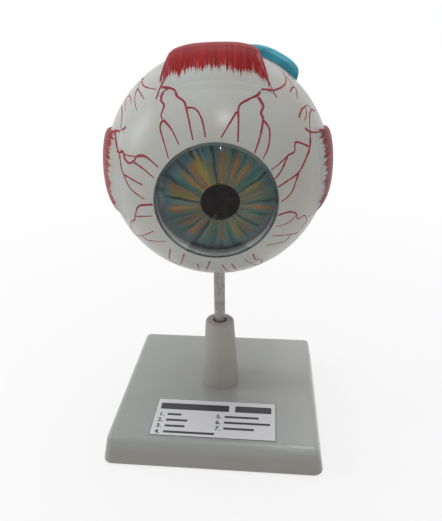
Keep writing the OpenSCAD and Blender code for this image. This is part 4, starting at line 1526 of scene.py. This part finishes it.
@dataclass
class Vessels:
    """The vessels painted on the outside of the ball and on the retina.

    Lines are sunk by a share of their radius. The unseen ones bend by up to wobble a step, keep
    a share of that bend for the next, and fork once every few steps. The retina's start at the
    nerve's disc and bend one way.
    """

    step_px: float = 1.2
    step_mm: float = 1.5
    sunk: float = 0.70
    jump_mm: float = 4.0
    shortest: int = 3
    taper: float = 0.45
    tip: float = 0.5
    grazing: float = 0.08
    wobble: float = 0.16
    keep: float = 0.8
    fork_every: int = 11
    fork_at: int = 6
    fork_turn: tuple[float, float] = (0.5, 0.9)
    fork_share: tuple[float, float] = (0.4, 0.7)
    fork_width: float = 0.72
    unseen_taper: float = 0.4
    trunks: tuple[int, ...] = (38, 62, 120, 146, 205, 232, 300, 330)
    trunk_swing: float = 5.0
    trunk_tilt: tuple[float, float] = (30.0, 42.0)
    trunk_mm: tuple[float, float] = (85.0, 130.0)
    trunk_forks: int = 2
    disc: float = 15.0
    pair_apart: float = 0.10
    arcades: tuple[tuple[int, float], ...] = ((60, 0.030), (-60, -0.030), (125, -0.034), (-125, 0.034))
    arcade_start: int = 4
    arcade_steps: int = 46
    arcade_step_mm: float = 1.6
    arcade_radius_mm: float = 0.42
    arcade_taper: float = 0.65
    arcade_wobble: float = 0.05
    seed: int = 11
    paint_nodes: tuple[str, ...] = ("sclera_front", "sclera_rear", "superior_tendon", "inferior_tendon",
                                    "lateral_tendon", "medial_tendon")
    cover_nodes: tuple[str, ...] = ("superior_rectus", "inferior_rectus", "lateral_rectus", "medial_rectus",
                                    "superior_oblique", "inferior_oblique", "nerve_sheath", "optic_nerve",
                                    "support_rod", "cornea", "iris")

    def __post_init__(self) -> None:
        """Build the surface and start the chains of each body."""
        self.skin = Skin((*self.paint_nodes, *self.cover_nodes))
        self.chains: dict[str, list[Chain]] = {}

    def lay(self, touches: Sequence[Touch | None], width: float, end_share: float) -> None:
        """Turn meetings with the surface into chains, one for each body and unbroken stretch.

        Args:
            touches: Meetings along the line, None where there is none.
            width: Width of the line at its start, in millimetres.
            end_share: Width at its end, as a share of the first.
        """
        full = width * MM / (2 * math.sqrt(1 - self.sunk ** 2))
        chain: list[tuple[Vector, float]] = []
        body, last = "", None
        for i, touch in enumerate([*touches, None]):
            fits = touch is not None and touch.node in self.paint_nodes
            here = frame["nodes"][touch.node]["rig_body"] if fits else ""
            broken = fits and last is not None and (touch.point - last).length > self.jump_mm * MM
            if (here != body or broken) and chain:
                if len(chain) > self.shortest:
                    self.chains.setdefault(body, []).append(chain)
                chain = []
            last = touch.point if fits else None
            body = here
            if fits:
                share = i / max(1, len(touches) - 1)
                radius = full * (1 - (1 - end_share) * share)
                if i in (0, len(touches) - 1):
                    radius *= self.tip
                chain.append((touch.point - touch.normal * radius * self.sunk, radius))

    def lay_seen(self) -> None:
        """Carry the photograph's vessels back onto the surface along the camera's rays."""
        for route in SEEN_ROUTES:
            path = smooth_path(route.points, self.step_px)
            touches = [self.skin.touch(VIEW.place, VIEW.ray(pixel)) for pixel in path]
            self.lay(touches, route.width, self.taper)

    def in_view(self, touch: Touch) -> bool:
        """Whether the photograph's camera sees this point of the front shell.

        Args:
            touch: A point of the painted surface.

        Returns:
            True where it lies on the front shell and faces the camera.
        """
        toward = (VIEW.place - touch.point).normalized()
        ahead = EYE.from_row(touch.point).z > EYE.seam
        return toward.dot(touch.normal) > self.grazing and ahead

    def wander(self, rng: random.Random, start: Vector, heading: Vector, width: float, length: float,
               depth: int) -> None:
        """Lay one vessel of the unseen sides, and its branches.

        Args:
            rng: Seeded source of the turns.
            start: Direction from the ball's centre to the vessel's start.
            heading: Direction along the surface in which it sets off.
            width: Width at its start, in millimetres.
            length: Its length, in millimetres.
            depth: How many times its branches may branch.
        """
        place, way = start.normalized(), heading.normalized()
        touches: list[Touch | None] = []
        swing = 0.0
        steps = int(length / self.step_mm)
        for i in range(steps):
            touch = self.skin.touch(EYE.centre + place * OUTSIDE, -place)
            hidden = touch is None or touch.node in self.cover_nodes or self.in_view(touch)
            touches.append(None if hidden else touch)
            swing = self.keep * swing + rng.uniform(-self.wobble, self.wobble)
            way = (Matrix.Rotation(swing, 3, place) @ way).normalized()
            turn = Matrix.Rotation(self.step_mm / EYE.radius, 3, place.cross(way))
            place, way = (turn @ place).normalized(), (turn @ way).normalized()
            if depth > 0 and i % self.fork_every == self.fork_at:
                side = rng.choice((-1, 1)) * rng.uniform(*self.fork_turn)
                fork = Matrix.Rotation(side, 3, place) @ way
                rest = length * (1 - i / steps) * rng.uniform(*self.fork_share)
                self.wander(rng, place, fork, width * self.fork_width, rest, depth - 1)
        self.lay(touches, width, self.unseen_taper)

    def lay_unseen(self) -> None:
        """Trunks that run forwards between the muscles from the back, and up from below the limb."""
        rng = random.Random(self.seed)
        turn = EYE.euler().to_matrix()
        for direction in self.trunks:
            around = math.radians(direction + rng.uniform(-self.trunk_swing, self.trunk_swing))
            out = Vector((math.cos(around), math.sin(around), 0.0))
            tilt = math.radians(rng.uniform(*self.trunk_tilt))
            start = out * math.sin(tilt) - Vector((0, 0, 1)) * math.cos(tilt)
            heading = out * math.cos(tilt) + Vector((0, 0, 1)) * math.sin(tilt)
            length = rng.uniform(*self.trunk_mm)
            self.wander(rng, turn @ start, turn @ heading, THICK, length, self.trunk_forks)

    def lay_retina(self) -> None:
        """Arcades on the inside: artery and vein pairs that leave the nerve's disc."""
        rng = random.Random(self.seed + 1)
        inside = Skin(("retina",))
        turn = EYE.euler().to_matrix()
        disc = math.radians(self.disc)
        tones = {"artery": (0.42, 0.03, 0.03), "vein": (0.04, 0.08, 0.35)}
        for kind, offset in (("artery", 0.0), ("vein", self.pair_apart)):
            chains = []
            for swing, bend in self.arcades:
                angle = math.radians(swing) + offset
                place = Vector((math.sin(disc), 0, -math.cos(disc)))
                way = Vector((math.cos(angle), math.sin(angle), 0.0))
                way = (way - place * way.dot(place)).normalized()
                chain = []
                for i in range(self.arcade_steps):
                    touch = inside.touch(EYE.centre, turn @ place)
                    radius = self.arcade_radius_mm * MM * (1 - self.arcade_taper * i / self.arcade_steps)
                    if touch is not None and i >= self.arcade_start:
                        chain.append((touch.point - touch.normal * radius * self.sunk, radius))
                    swing_step = bend + rng.uniform(-self.arcade_wobble, self.arcade_wobble)
                    way = Matrix.Rotation(swing_step, 3, place) @ way
                    step = Matrix.Rotation(self.arcade_step_mm / EYE.radius, 3, place.cross(way))
                    place, way = (step @ place).normalized(), (step @ way).normalized()
                chains.append(chain)
            finish = RetinaVessel(f"retina_{kind}_paint", tone=tones[kind])
            line_piece(f"retina_{kind}", chains, finish, "ball", kind, Sides=12, Unevenness=0.22)

    def build(self) -> None:
        """Lay every vessel and make one piece for each body."""
        self.lay_seen()
        self.lay_unseen()
        paint = VesselPaint("vessel_paint")
        for body, chains in self.chains.items():
            line_piece(f"vessels_{body}", chains, paint, body, "muscle", Sides=12, Unevenness=0.22)
        self.lay_retina()


# ---------------------------------------------------------------- sub-assemblies


@dataclass
class Stand:
    """Moulded base, its board and screws, and the tapered socket."""

    base: MouldedPlastic = BasePlastic("base_plastic", colour=(0.335, 0.345, 0.330), rough=0.34,
                                       blotch=0.02,
                                       grain=0.04, wear=0.15, coat=0.35)
    socket: MouldedPlastic = MouldedPlastic("socket_plastic", colour=(0.385, 0.360, 0.335), rough=0.5)
    board: Hardboard = Hardboard("bottom_board")
    screws: TurnedMetal = TurnedMetal("zinc_screw", colour=(0.58, 0.58, 0.60))

    def build(self) -> None:
        """Dress the stand's solids."""
        dress(self.base, "base_shell")
        dress(self.socket, "socket_column")
        dress(self.board, "bottom_cover")
        dress(self.screws, "cover_screws", "column_screw", "column_washer")


@dataclass
class Label:
    """White label with plain digits and plain rules on it."""

    digit_mm: float = 3.9
    line_mm: float = 5.9
    ink_mm: float = 0.02
    bold_mm: float = 0.17
    rule_mm: float = 2.1
    title_mm: float = 6.6
    title_bars: tuple[tuple[float, float], ...] = ((0.0, 0.62), (0.675, 0.325))
    margin_mm: float = 3.2
    title_drop_mm: float = 1.6
    rows_below_mm: float = 8.6
    rule_in_mm: float = 6.0
    column_shift_mm: float = 1.0
    digit_scale: float = 1.35
    digit_foot: float = 0.47
    left_rules: tuple[float, ...] = (10.0, 15.0, 14.0, 35.0)
    right_rules: tuple[float, ...] = (24.0, 32.0, 21.0)

    def __post_init__(self) -> None:
        """Read where the label lies."""
        low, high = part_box("label_plate")
        self.left, self.right = low.x / MM, high.x / MM
        self.back, self.front = high.y / MM, low.y / MM
        self.top = high.z / MM

    def bar(self, mesh: bmesh.types.BMesh, x: float, y: float, length: float, height: float) -> None:
        """Add one printed rule, its left end at x and its middle at y, in millimetres.

        Args:
            mesh: The print so far.
            x: Left end.
            y: Middle.
            length: Its length.
            height: Its height.
        """
        middle = Vector((x + length / 2, y, self.top + self.ink_mm / 2)) * MM
        size = Matrix.Diagonal((length * MM, height * MM, self.ink_mm * MM, 1.0))
        bmesh.ops.create_cube(mesh, size=1.0, matrix=Matrix.Translation(middle) @ size)

    def digit(self, mark: int, x: float, y: float) -> bpy.types.Mesh:
        """Mesh of a plain digit with its foot at x and y, in millimetres.

        Args:
            mark: The digit.
            x: Left edge.
            y: Middle of its row.

        Returns:
            The digit's mesh.
        """
        curve = bpy.data.curves.new(f"digit_{mark}", "FONT")
        curve.body = f"{mark}."
        curve.size = self.digit_mm * self.digit_scale
        curve.extrude = self.ink_mm / 2
        curve.offset = self.bold_mm
        curve.resolution_u = 3
        mesh = applied(link(f"digit_{mark}", curve))
        place = Vector((x, y - self.digit_mm * self.digit_foot, self.top + self.ink_mm / 2)) * MM
        mesh.transform(Matrix.Translation(place) @ Matrix.Diagonal((MM, MM, MM, 1.0)))
        return mesh

    def build(self) -> None:
        """Dress the label and print on it."""
        middle = (self.back + self.front) / 2
        dress(LabelPaper("label_paper", half_w=(self.right - self.left) / 2,
                         half_d=(self.back - self.front) / 2, middle_y=middle), "label_plate")
        printed = bmesh.new()
        left, right = self.left + self.margin_mm, self.right - self.margin_mm
        title = self.back - self.margin_mm - self.title_mm / 2 - self.title_drop_mm
        for start, length in self.title_bars:
            self.bar(printed, left + start * (right - left), title, length * (right - left), self.title_mm)
        half = (left + right) / 2 + self.column_shift_mm
        columns = ((left, 1, self.left_rules), (half, len(self.left_rules) + 1, self.right_rules))
        for x, number, rules in columns:
            for row, length in enumerate(rules):
                y = title - self.rows_below_mm - row * self.line_mm
                self.bar(printed, x + self.rule_in_mm, y, length, self.rule_mm)
                mark = self.digit(number + row, x, y)
                printed.from_mesh(mark)
                bpy.data.meshes.remove(mark)
        ink = Print("label_ink").build()
        add_piece("label_print", plain_mesh("label_print", printed), "stand", ink)


@dataclass
class Rod:
    """Galvanised rod with a dark ring where it enters the ball, a painted contact shadow."""

    finish: GalvanisedSteel = GalvanisedSteel("galvanised_rod")
    ring_mm: float = 0.45
    gap_mm: float = 0.12
    below: float = 0.05
    steps: int = 48

    def build(self) -> None:
        """Dress the rod and lay the ring on the ball's mouth."""
        dress(self.finish, "support_rod")
        dress(TurnedMetal("brass_bush", colour=(0.66, 0.47, 0.20)), "rod_bush")
        low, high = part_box("support_rod")
        middle = (low + high) / 2
        radius = (high.x - low.x) / 2 + (self.ring_mm + self.gap_mm) * MM
        skin = Skin(("sclera_rear", "inferior_rectus"))
        chain = []
        for way in ring(self.steps):
            touch = skin.touch(Vector((middle.x, middle.y, self.below)) + way * radius, Vector((0, 0, 1)))
            if touch is not None:
                chain.append((touch.point, self.ring_mm * MM))
        # painted shadow: a dark bead round the rod's mouth in the ball, where the contact shadow falls
        finish = PlainPaint("mouth_shadow_paint", colour=(0.10, 0.085, 0.065), dark=(0.045, 0.038, 0.03),
                            rough=0.7, coat=0.0)
        line_piece("rod_mouth_ring", [chain], finish, "ball", "sclera", closed=True, Unevenness=0.3)


@dataclass
class RearEye:
    """Everything that stays on the rod behind the seam."""

    white: ShellPaint = ShellPaint("sclera_paint")
    lining: PlainPaint = PlainPaint("lining_paint", colour=(0.060, 0.018, 0.014),
                                    dark=(0.022, 0.008, 0.007), rough=0.55)

    def build(self) -> None:
        """Dress the rear shells, the muscles and the nerve."""
        dress(self.white, "sclera_rear")
        dress(self.lining, "choroid_rear")
        dress(RetinaPaint("retina_paint"), "retina")
        dress(PlainPaint("yellow_spot_paint", colour=(0.72, 0.46, 0.03), dark=(0.50, 0.27, 0.02),
                         scale=0.3),
              "yellow_spot")
        upright, sideways = MusclePaint("rectus_upright"), MusclePaint("rectus_sideways", run=Run.SIDEWAYS)
        for name, finish in (("superior_rectus", upright), ("inferior_rectus", upright),
                             ("lateral_rectus", sideways), ("medial_rectus", sideways)):
            smooth_strap(name, finish)
        for name in ("superior_oblique", "inferior_oblique"):
            smooth_strap(name, ObliquePaint("oblique_paint"))
        dress(PlainPaint("nerve_paint", colour=(0.66, 0.47, 0.16), dark=(0.50, 0.32, 0.09), scale=0.25),
              "optic_nerve")
        dress(PlainPaint("sheath_paint", colour=(0.52, 0.45, 0.34), dark=(0.40, 0.33, 0.24)),
              "nerve_sheath")
        dress(PlainPaint("artery_paint", colour=(0.50, 0.02, 0.02), dark=(0.30, 0.01, 0.01)),
              "central_artery")
        dress(PlainPaint("vein_paint", colour=(0.03, 0.07, 0.42), dark=(0.02, 0.04, 0.22)), "central_vein")


@dataclass
class FrontEye:
    """What draws off forwards: the front shell with its cornea and iris, and the tendons."""

    rim_mm: float = 0.34
    rim_sunk_mm: float = 0.05
    rim_steps: int = 160

    def build(self) -> None:
        """Dress the front solids and lay the dark line round the cornea."""
        dress(ShellPaint("sclera_paint"), "sclera_front")
        upper = TendonPaint("tendon_upper", edge=36.8, slant=0.03, sag=0.001)
        side = TendonPaint("tendon_side", run=Run.SIDEWAYS, edge=32.0, fray=10.0, pale=(0.50, 0.130, 0.160))
        # painted shade: a darker copy of the side tendons' red for the nose-side tendon, which lies in
        # shade
        shaded = replace(side, name="tendon_nose_side_shade", deep=(0.120, 0.003, 0.004),
                         bright=(0.235, 0.005, 0.007), pale=(0.300, 0.045, 0.050))
        for name, finish in (("superior_tendon", upper), ("inferior_tendon", upper),
                             ("lateral_tendon", side),
                             ("medial_tendon", shaded)):
            smooth_strap(name, finish)
        dress(PlainPaint("lining_paint_front", colour=(0.060, 0.018, 0.014), dark=(0.022, 0.008, 0.007)),
              "choroid_front")
        dress(PlainPaint("ciliary_paint", colour=(0.150, 0.060, 0.040), dark=(0.070, 0.028, 0.020),
                         scale=0.3),
              "ciliary_ring")
        dress(PlainPaint("zonule_paint", colour=(0.62, 0.60, 0.54), dark=(0.48, 0.45, 0.39)), "zonule_ring")
        dress(IrisPaint("iris_paint"), "iris")
        dress(ClearPlastic("cornea_plastic"), "cornea")
        rim = Vector((0.0, 0.0, math.sqrt(EYE.radius ** 2 - EYE.opening ** 2) - self.rim_sunk_mm))
        places = (rim + way * EYE.opening for way in ring(self.rim_steps))
        chain = [(EYE.to_row(place, gaze=True), self.rim_mm * MM) for place in places]
        finish = PlainPaint("rim_line", colour=(0.150, 0.150, 0.140), dark=(0.075, 0.075, 0.070), rough=0.5)
        line_piece("cornea_rim_line", [chain], finish, "front", "sclera", closed=True, Unevenness=0.2)


@dataclass
class PaintFilm:
    """Skin of white paint brushed over the step where each tendon's front end meets the shell."""

    half_mm: float = 2.6
    lift_mm: float = 0.022
    sunk_mm: float = 0.03
    thick_mm: float = 0.35
    rows: int = 13
    step: float = 0.7
    spread: float = 30.0
    front_tilt: float = 38.0
    halvings: int = 14
    tendons: tuple[tuple[str, float, float], ...] = (
        ("superior_tendon", 90.0, 56.0), ("lateral_tendon", 180.0, 59.5), ("medial_tendon", 0.0, 59.5),
        ("inferior_tendon", 270.0, 73.5))

    def meet(self, skin: Skin, around: float, tilt: float) -> tuple[float, str, Vector]:
        """Look at the ball from outside along one of its radii.

        Args:
            skin: The shell and a tendon.
            around: Direction round the eye's axis, in degrees.
            tilt: Angle from the eye's axis, in degrees.

        Returns:
            Height above the ball's centre in millimetres, the node met and the radius' direction.
        """
        turn, lean = math.radians(around), math.radians(tilt)
        out = Vector((math.cos(turn) * math.sin(lean), math.sin(turn) * math.sin(lean), math.cos(lean)))
        way = EYE.euler().to_matrix() @ out
        touch = skin.touch(EYE.centre + way * OUTSIDE, -way)
        if touch is None:
            return 0.0, "", way
        return (touch.point - EYE.centre).length / MM, touch.node, way

    def front(self, skin: Skin, name: str, around: float, behind: float) -> float | None:
        """Tilt at which a tendon starts in one direction, in degrees, or None where there is none.

        Args:
            skin: The shell and the tendon.
            name: The tendon's node.
            around: Direction round the eye's axis, in degrees.
            behind: A tilt at which the tendon is met, in degrees.

        Returns:
            The tilt in degrees.
        """
        low, high = self.front_tilt, behind
        if self.meet(skin, around, high)[1] != name:
            return None
        for _ in range(self.halvings):
            middle = (low + high) / 2
            low, high = (low, middle) if self.meet(skin, around, middle)[1] == name else (middle, high)
        return high

    def station(self, skin: Skin, around: float, tilt: float, outer: bool) -> list[tuple[Vector, float]]:
        """Follow the film in one direction, from before the tendon's front end to behind it.

        Args:
            skin: The shell and the tendon.
            around: Direction round the eye's axis, in degrees.
            tilt: Where the tendon starts, in degrees.
            outer: Whether this is the film's first or last station, sunk like its other edges.

        Returns:
            Each row's direction from the ball's centre and its height in millimetres.
        """
        offsets = [self.half_mm * (2 * j / (self.rows - 1) - 1) for j in range(self.rows)]
        met = [self.meet(skin, around, tilt + math.degrees(t / EYE.radius)) for t in offsets]
        low, high = met[0][0], met[-1][0]
        rows = []
        for j, (height, _, way) in enumerate(met):
            share = j / (self.rows - 1)
            soft = low + (high - low) * share * share * (3 - 2 * share)
            sunk = outer or j in (0, self.rows - 1)
            rows.append((way, height - self.sunk_mm if sunk else max(height, soft) + self.lift_mm))
        return rows

    def strip(self, name: str, middle: float, behind: float, shape: bmesh.types.BMesh) -> int:
        """Add the film over one tendon's front end and return the count of its stations.

        Args:
            name: The tendon's node.
            middle: Direction of its middle round the eye's axis, in degrees.
            behind: A tilt at which it is met, in degrees.
            shape: Takes the film's corners and faces.

        Returns:
            The count of stations.
        """
        skin = Skin(("sclera_front", name))
        count = int(self.spread / self.step)
        fronts = [(around, self.front(skin, name, around, behind))
                  for around in (middle + i * self.step for i in range(-count, count + 1))]
        fronts = [(around, tilt) for around, tilt in fronts if tilt is not None]
        tops, feet = [], []
        for place, (around, tilt) in enumerate(fronts):
            rows = self.station(skin, around, tilt, place in (0, len(fronts) - 1))
            for grid, depth in ((tops, 0.0), (feet, self.thick_mm)):
                grid.append([shape.verts.new(EYE.centre + way * (height - depth) * MM)
                             for way, height in rows])
        for grid in (tops, feet):
            for a, b in zip(grid, grid[1:]):
                for j in range(self.rows - 1):
                    shape.faces.new((a[j], a[j + 1], b[j + 1], b[j])).smooth = True
        rims = ([(t[0], f[0]) for t, f in zip(tops, feet)], [(t[-1], f[-1]) for t, f in zip(tops, feet)],
                list(zip(tops[0], feet[0])), list(zip(tops[-1], feet[-1])))
        for rim in rims:
            for (a, b), (c, d) in zip(rim, rim[1:]):
                shape.faces.new((a, b, d, c)).smooth = False
        return len(fronts)

    def build(self) -> None:
        """Lay the film over the four front ends, as one piece."""
        shape = bmesh.new()
        for name, middle, behind in self.tendons:
            LOG.info("film on %s: %d stations", name, self.strip(name, middle, behind, shape))
        bmesh.ops.recalc_face_normals(shape, faces=shape.faces[:])
        paint = ShellPaint("sclera_paint").build()
        add_piece("tendon_film", plain_mesh("tendon_film", shape), "front", paint)


@dataclass
class Optics:
    """The clear bodies inside: lens and vitreous."""

    lens: ClearPlastic = ClearPlastic("lens_plastic", tint=(0.93, 0.97, 0.98), index=1.12)
    body: ClearPlastic = ClearPlastic("vitreous_plastic", tint=(0.90, 0.96, 0.975), index=1.08, rough=0.05)

    def build(self) -> None:
        """Dress the lens and the vitreous body."""
        dress(self.lens, "lens")
        dress(self.body, "vitreous_body")


# ---------------------------------------------------------------- studio


CORNEA_GLINT: Pixel = (222.0, 149.0)
WINDOW_GLINT: Pixel = (140.0, 130.0)


@dataclass(frozen=True)
class Lamp:
    """Rectangular lamp.

    The size and the distance from the spot that mirrors it are in metres, the power in watts.
    mirrored tells whether gloss shows it, spread whether it lights matt surfaces.
    """

    name: str
    size: tuple[float, float]
    power: float
    colour: Colour
    away: float = 0.0
    mirrored: bool = True
    spread: bool = True

    def build(self, aim: Vector, place: Vector) -> None:
        """Stand the lamp at a place, facing a point.

        Args:
            aim: The point it faces.
            place: Where it stands.
        """
        data = bpy.data.lights.new(self.name, "AREA")
        data.shape = "RECTANGLE"
        data.size, data.size_y = self.size
        data.energy, data.color = self.power, self.colour
        lamp = link(self.name, data)
        lamp.location = place
        lamp.rotation_euler = (aim - place).to_track_quat("-Z", "Y").to_euler()
        lamp.visible_glossy, lamp.visible_diffuse = self.mirrored, self.spread


@dataclass
class Studio:
    """Pale floor, white surroundings and soft lamps."""

    ambient: float = 0.57
    floor_m: float = 6.0
    floor_drop_mm: float = 0.4
    key: Lamp = Lamp("key", (0.065, 0.10), 4.8, (1.0, 0.995, 0.98), away=1.3, spread=False)
    window: Lamp = Lamp("window", (0.35, 0.7), 5.2, (0.93, 0.97, 1.0), away=1.4)
    overhead: Lamp = Lamp("overhead", (1.3, 1.3), 10.7, (1.0, 1.0, 0.99), mirrored=False)
    overhead_at: Colour = (-0.10, 0.30, 1.7)
    overhead_aim: Colour = (0.0, 0.0, 0.12)

    def mirrored(self, pixel: Pixel, nodes: Sequence[str], distance: float) -> tuple[Vector, Vector]:
        """Place from which a lamp is mirrored at a pixel of the photograph.

        Args:
            pixel: Where its reflection shows.
            nodes: The solids that mirror it.
            distance: How far off the lamp stands, in metres.

        Returns:
            The point that mirrors it and the lamp's place.
        """
        heading = VIEW.ray(pixel)
        touch = Skin(nodes).touch(VIEW.place, heading)
        outward = (touch.point - EYE.centre).normalized() if nodes == ("sclera_front",) else touch.normal
        away = heading - 2 * heading.dot(outward) * outward
        return touch.point, touch.point + away * distance

    def white_to_eye(self, net: Net) -> Socket:
        """1 for rays from the camera, off gloss and straight through glass, else 0.

        Args:
            net: The tree of the surroundings or the floor.

        Returns:
            1 or 0 as a number.
        """
        rays = net.add("ShaderNodeLightPath")
        straight = net.math("LESS_THAN", rays.outputs["Glossy Depth"], 0.5)
        through = net.times(rays.outputs["Is Transmission Ray"], straight)
        seen = net.math("MAXIMUM", rays.outputs["Is Camera Ray"], rays.outputs["Is Glossy Ray"])
        return net.math("MAXIMUM", seen, through)

    def surroundings(self) -> None:
        """World that lights plainly and shows as white."""
        world = bpy.data.worlds.new("studio")
        bpy.context.scene.world = world
        world.use_nodes = True
        net = Net(world.node_tree)
        world.node_tree.nodes.clear()
        light, white = (net.add("ShaderNodeBackground", {"Color": (1.0, 1.0, 1.0), "Strength": share})
                        for share in (self.ambient, 1.0))
        both = net.add("ShaderNodeMixShader", {0: self.white_to_eye(net), 1: light.outputs[0],
                                               2: white.outputs[0]}).outputs[0]
        net.add("ShaderNodeOutputWorld", {"Surface": both})

    def floor(self) -> None:
        """Pale floor that shows nearly white and keeps the shadow."""
        mesh = bpy.data.meshes.new("floor")
        half, low = self.floor_m / 2, -self.floor_drop_mm * MM
        corners = [(-half, -half, low), (half, -half, low), (half, half, low), (-half, half, low)]
        mesh.from_pydata(corners, [], [(0, 1, 2, 3)])
        floor = link("floor", mesh)
        material = bpy.data.materials.new("floor_paper")
        material.use_nodes = True
        net = Net(material.node_tree)
        shader = material.node_tree.nodes["Principled BSDF"]
        Finish.set(net, shader, Base_Color=(0.82, 0.82, 0.82), Roughness=0.9, Specular_IOR_Level=0.1)
        white = net.add("ShaderNodeEmission", {"Color": (1.0, 1.0, 1.0), "Strength": 1.0}).outputs[0]
        place = net.add("ShaderNodeTexCoord").outputs["Object"]
        away = net.length(place)
        share = net.times(self.white_to_eye(net), net.between(away, 0.12, 0.70, 0.78, 1.0))
        both = net.add("ShaderNodeMixShader", {0: share, 1: shader.outputs[0], 2: white}).outputs[0]
        end = next(n for n in material.node_tree.nodes if n.type == "OUTPUT_MATERIAL")
        net.feed(end.inputs["Surface"], both)
        mesh.materials.append(material)

    def build(self) -> None:
        """Set the surroundings, the floor and the lamps."""
        self.surroundings()
        self.floor()
        self.key.build(*self.mirrored(CORNEA_GLINT, ("cornea",), self.key.away))
        self.window.build(*self.mirrored(WINDOW_GLINT, ("sclera_front",), self.window.away))
        self.overhead.build(Vector(self.overhead_aim), Vector(self.overhead_at))


def set_view_transform() -> None:
    """Show colours as they are written."""
    bpy.context.scene.view_settings.view_transform = "Standard"


def main() -> None:
    """Build and dress every sub-assembly, then the camera and the studio."""
    logging.basicConfig(level=logging.INFO, format="%(name)s: %(message)s")
    set_view_transform()
    VIEW.build()
    for part in (Stand(), Label(), Rod(), RearEye(), FrontEye(), PaintFilm(), Optics(), Vessels()):
        LOG.info("building %s", type(part).__name__)
        part.build()
    Studio().build()


if __name__ == "__main__":
    main()
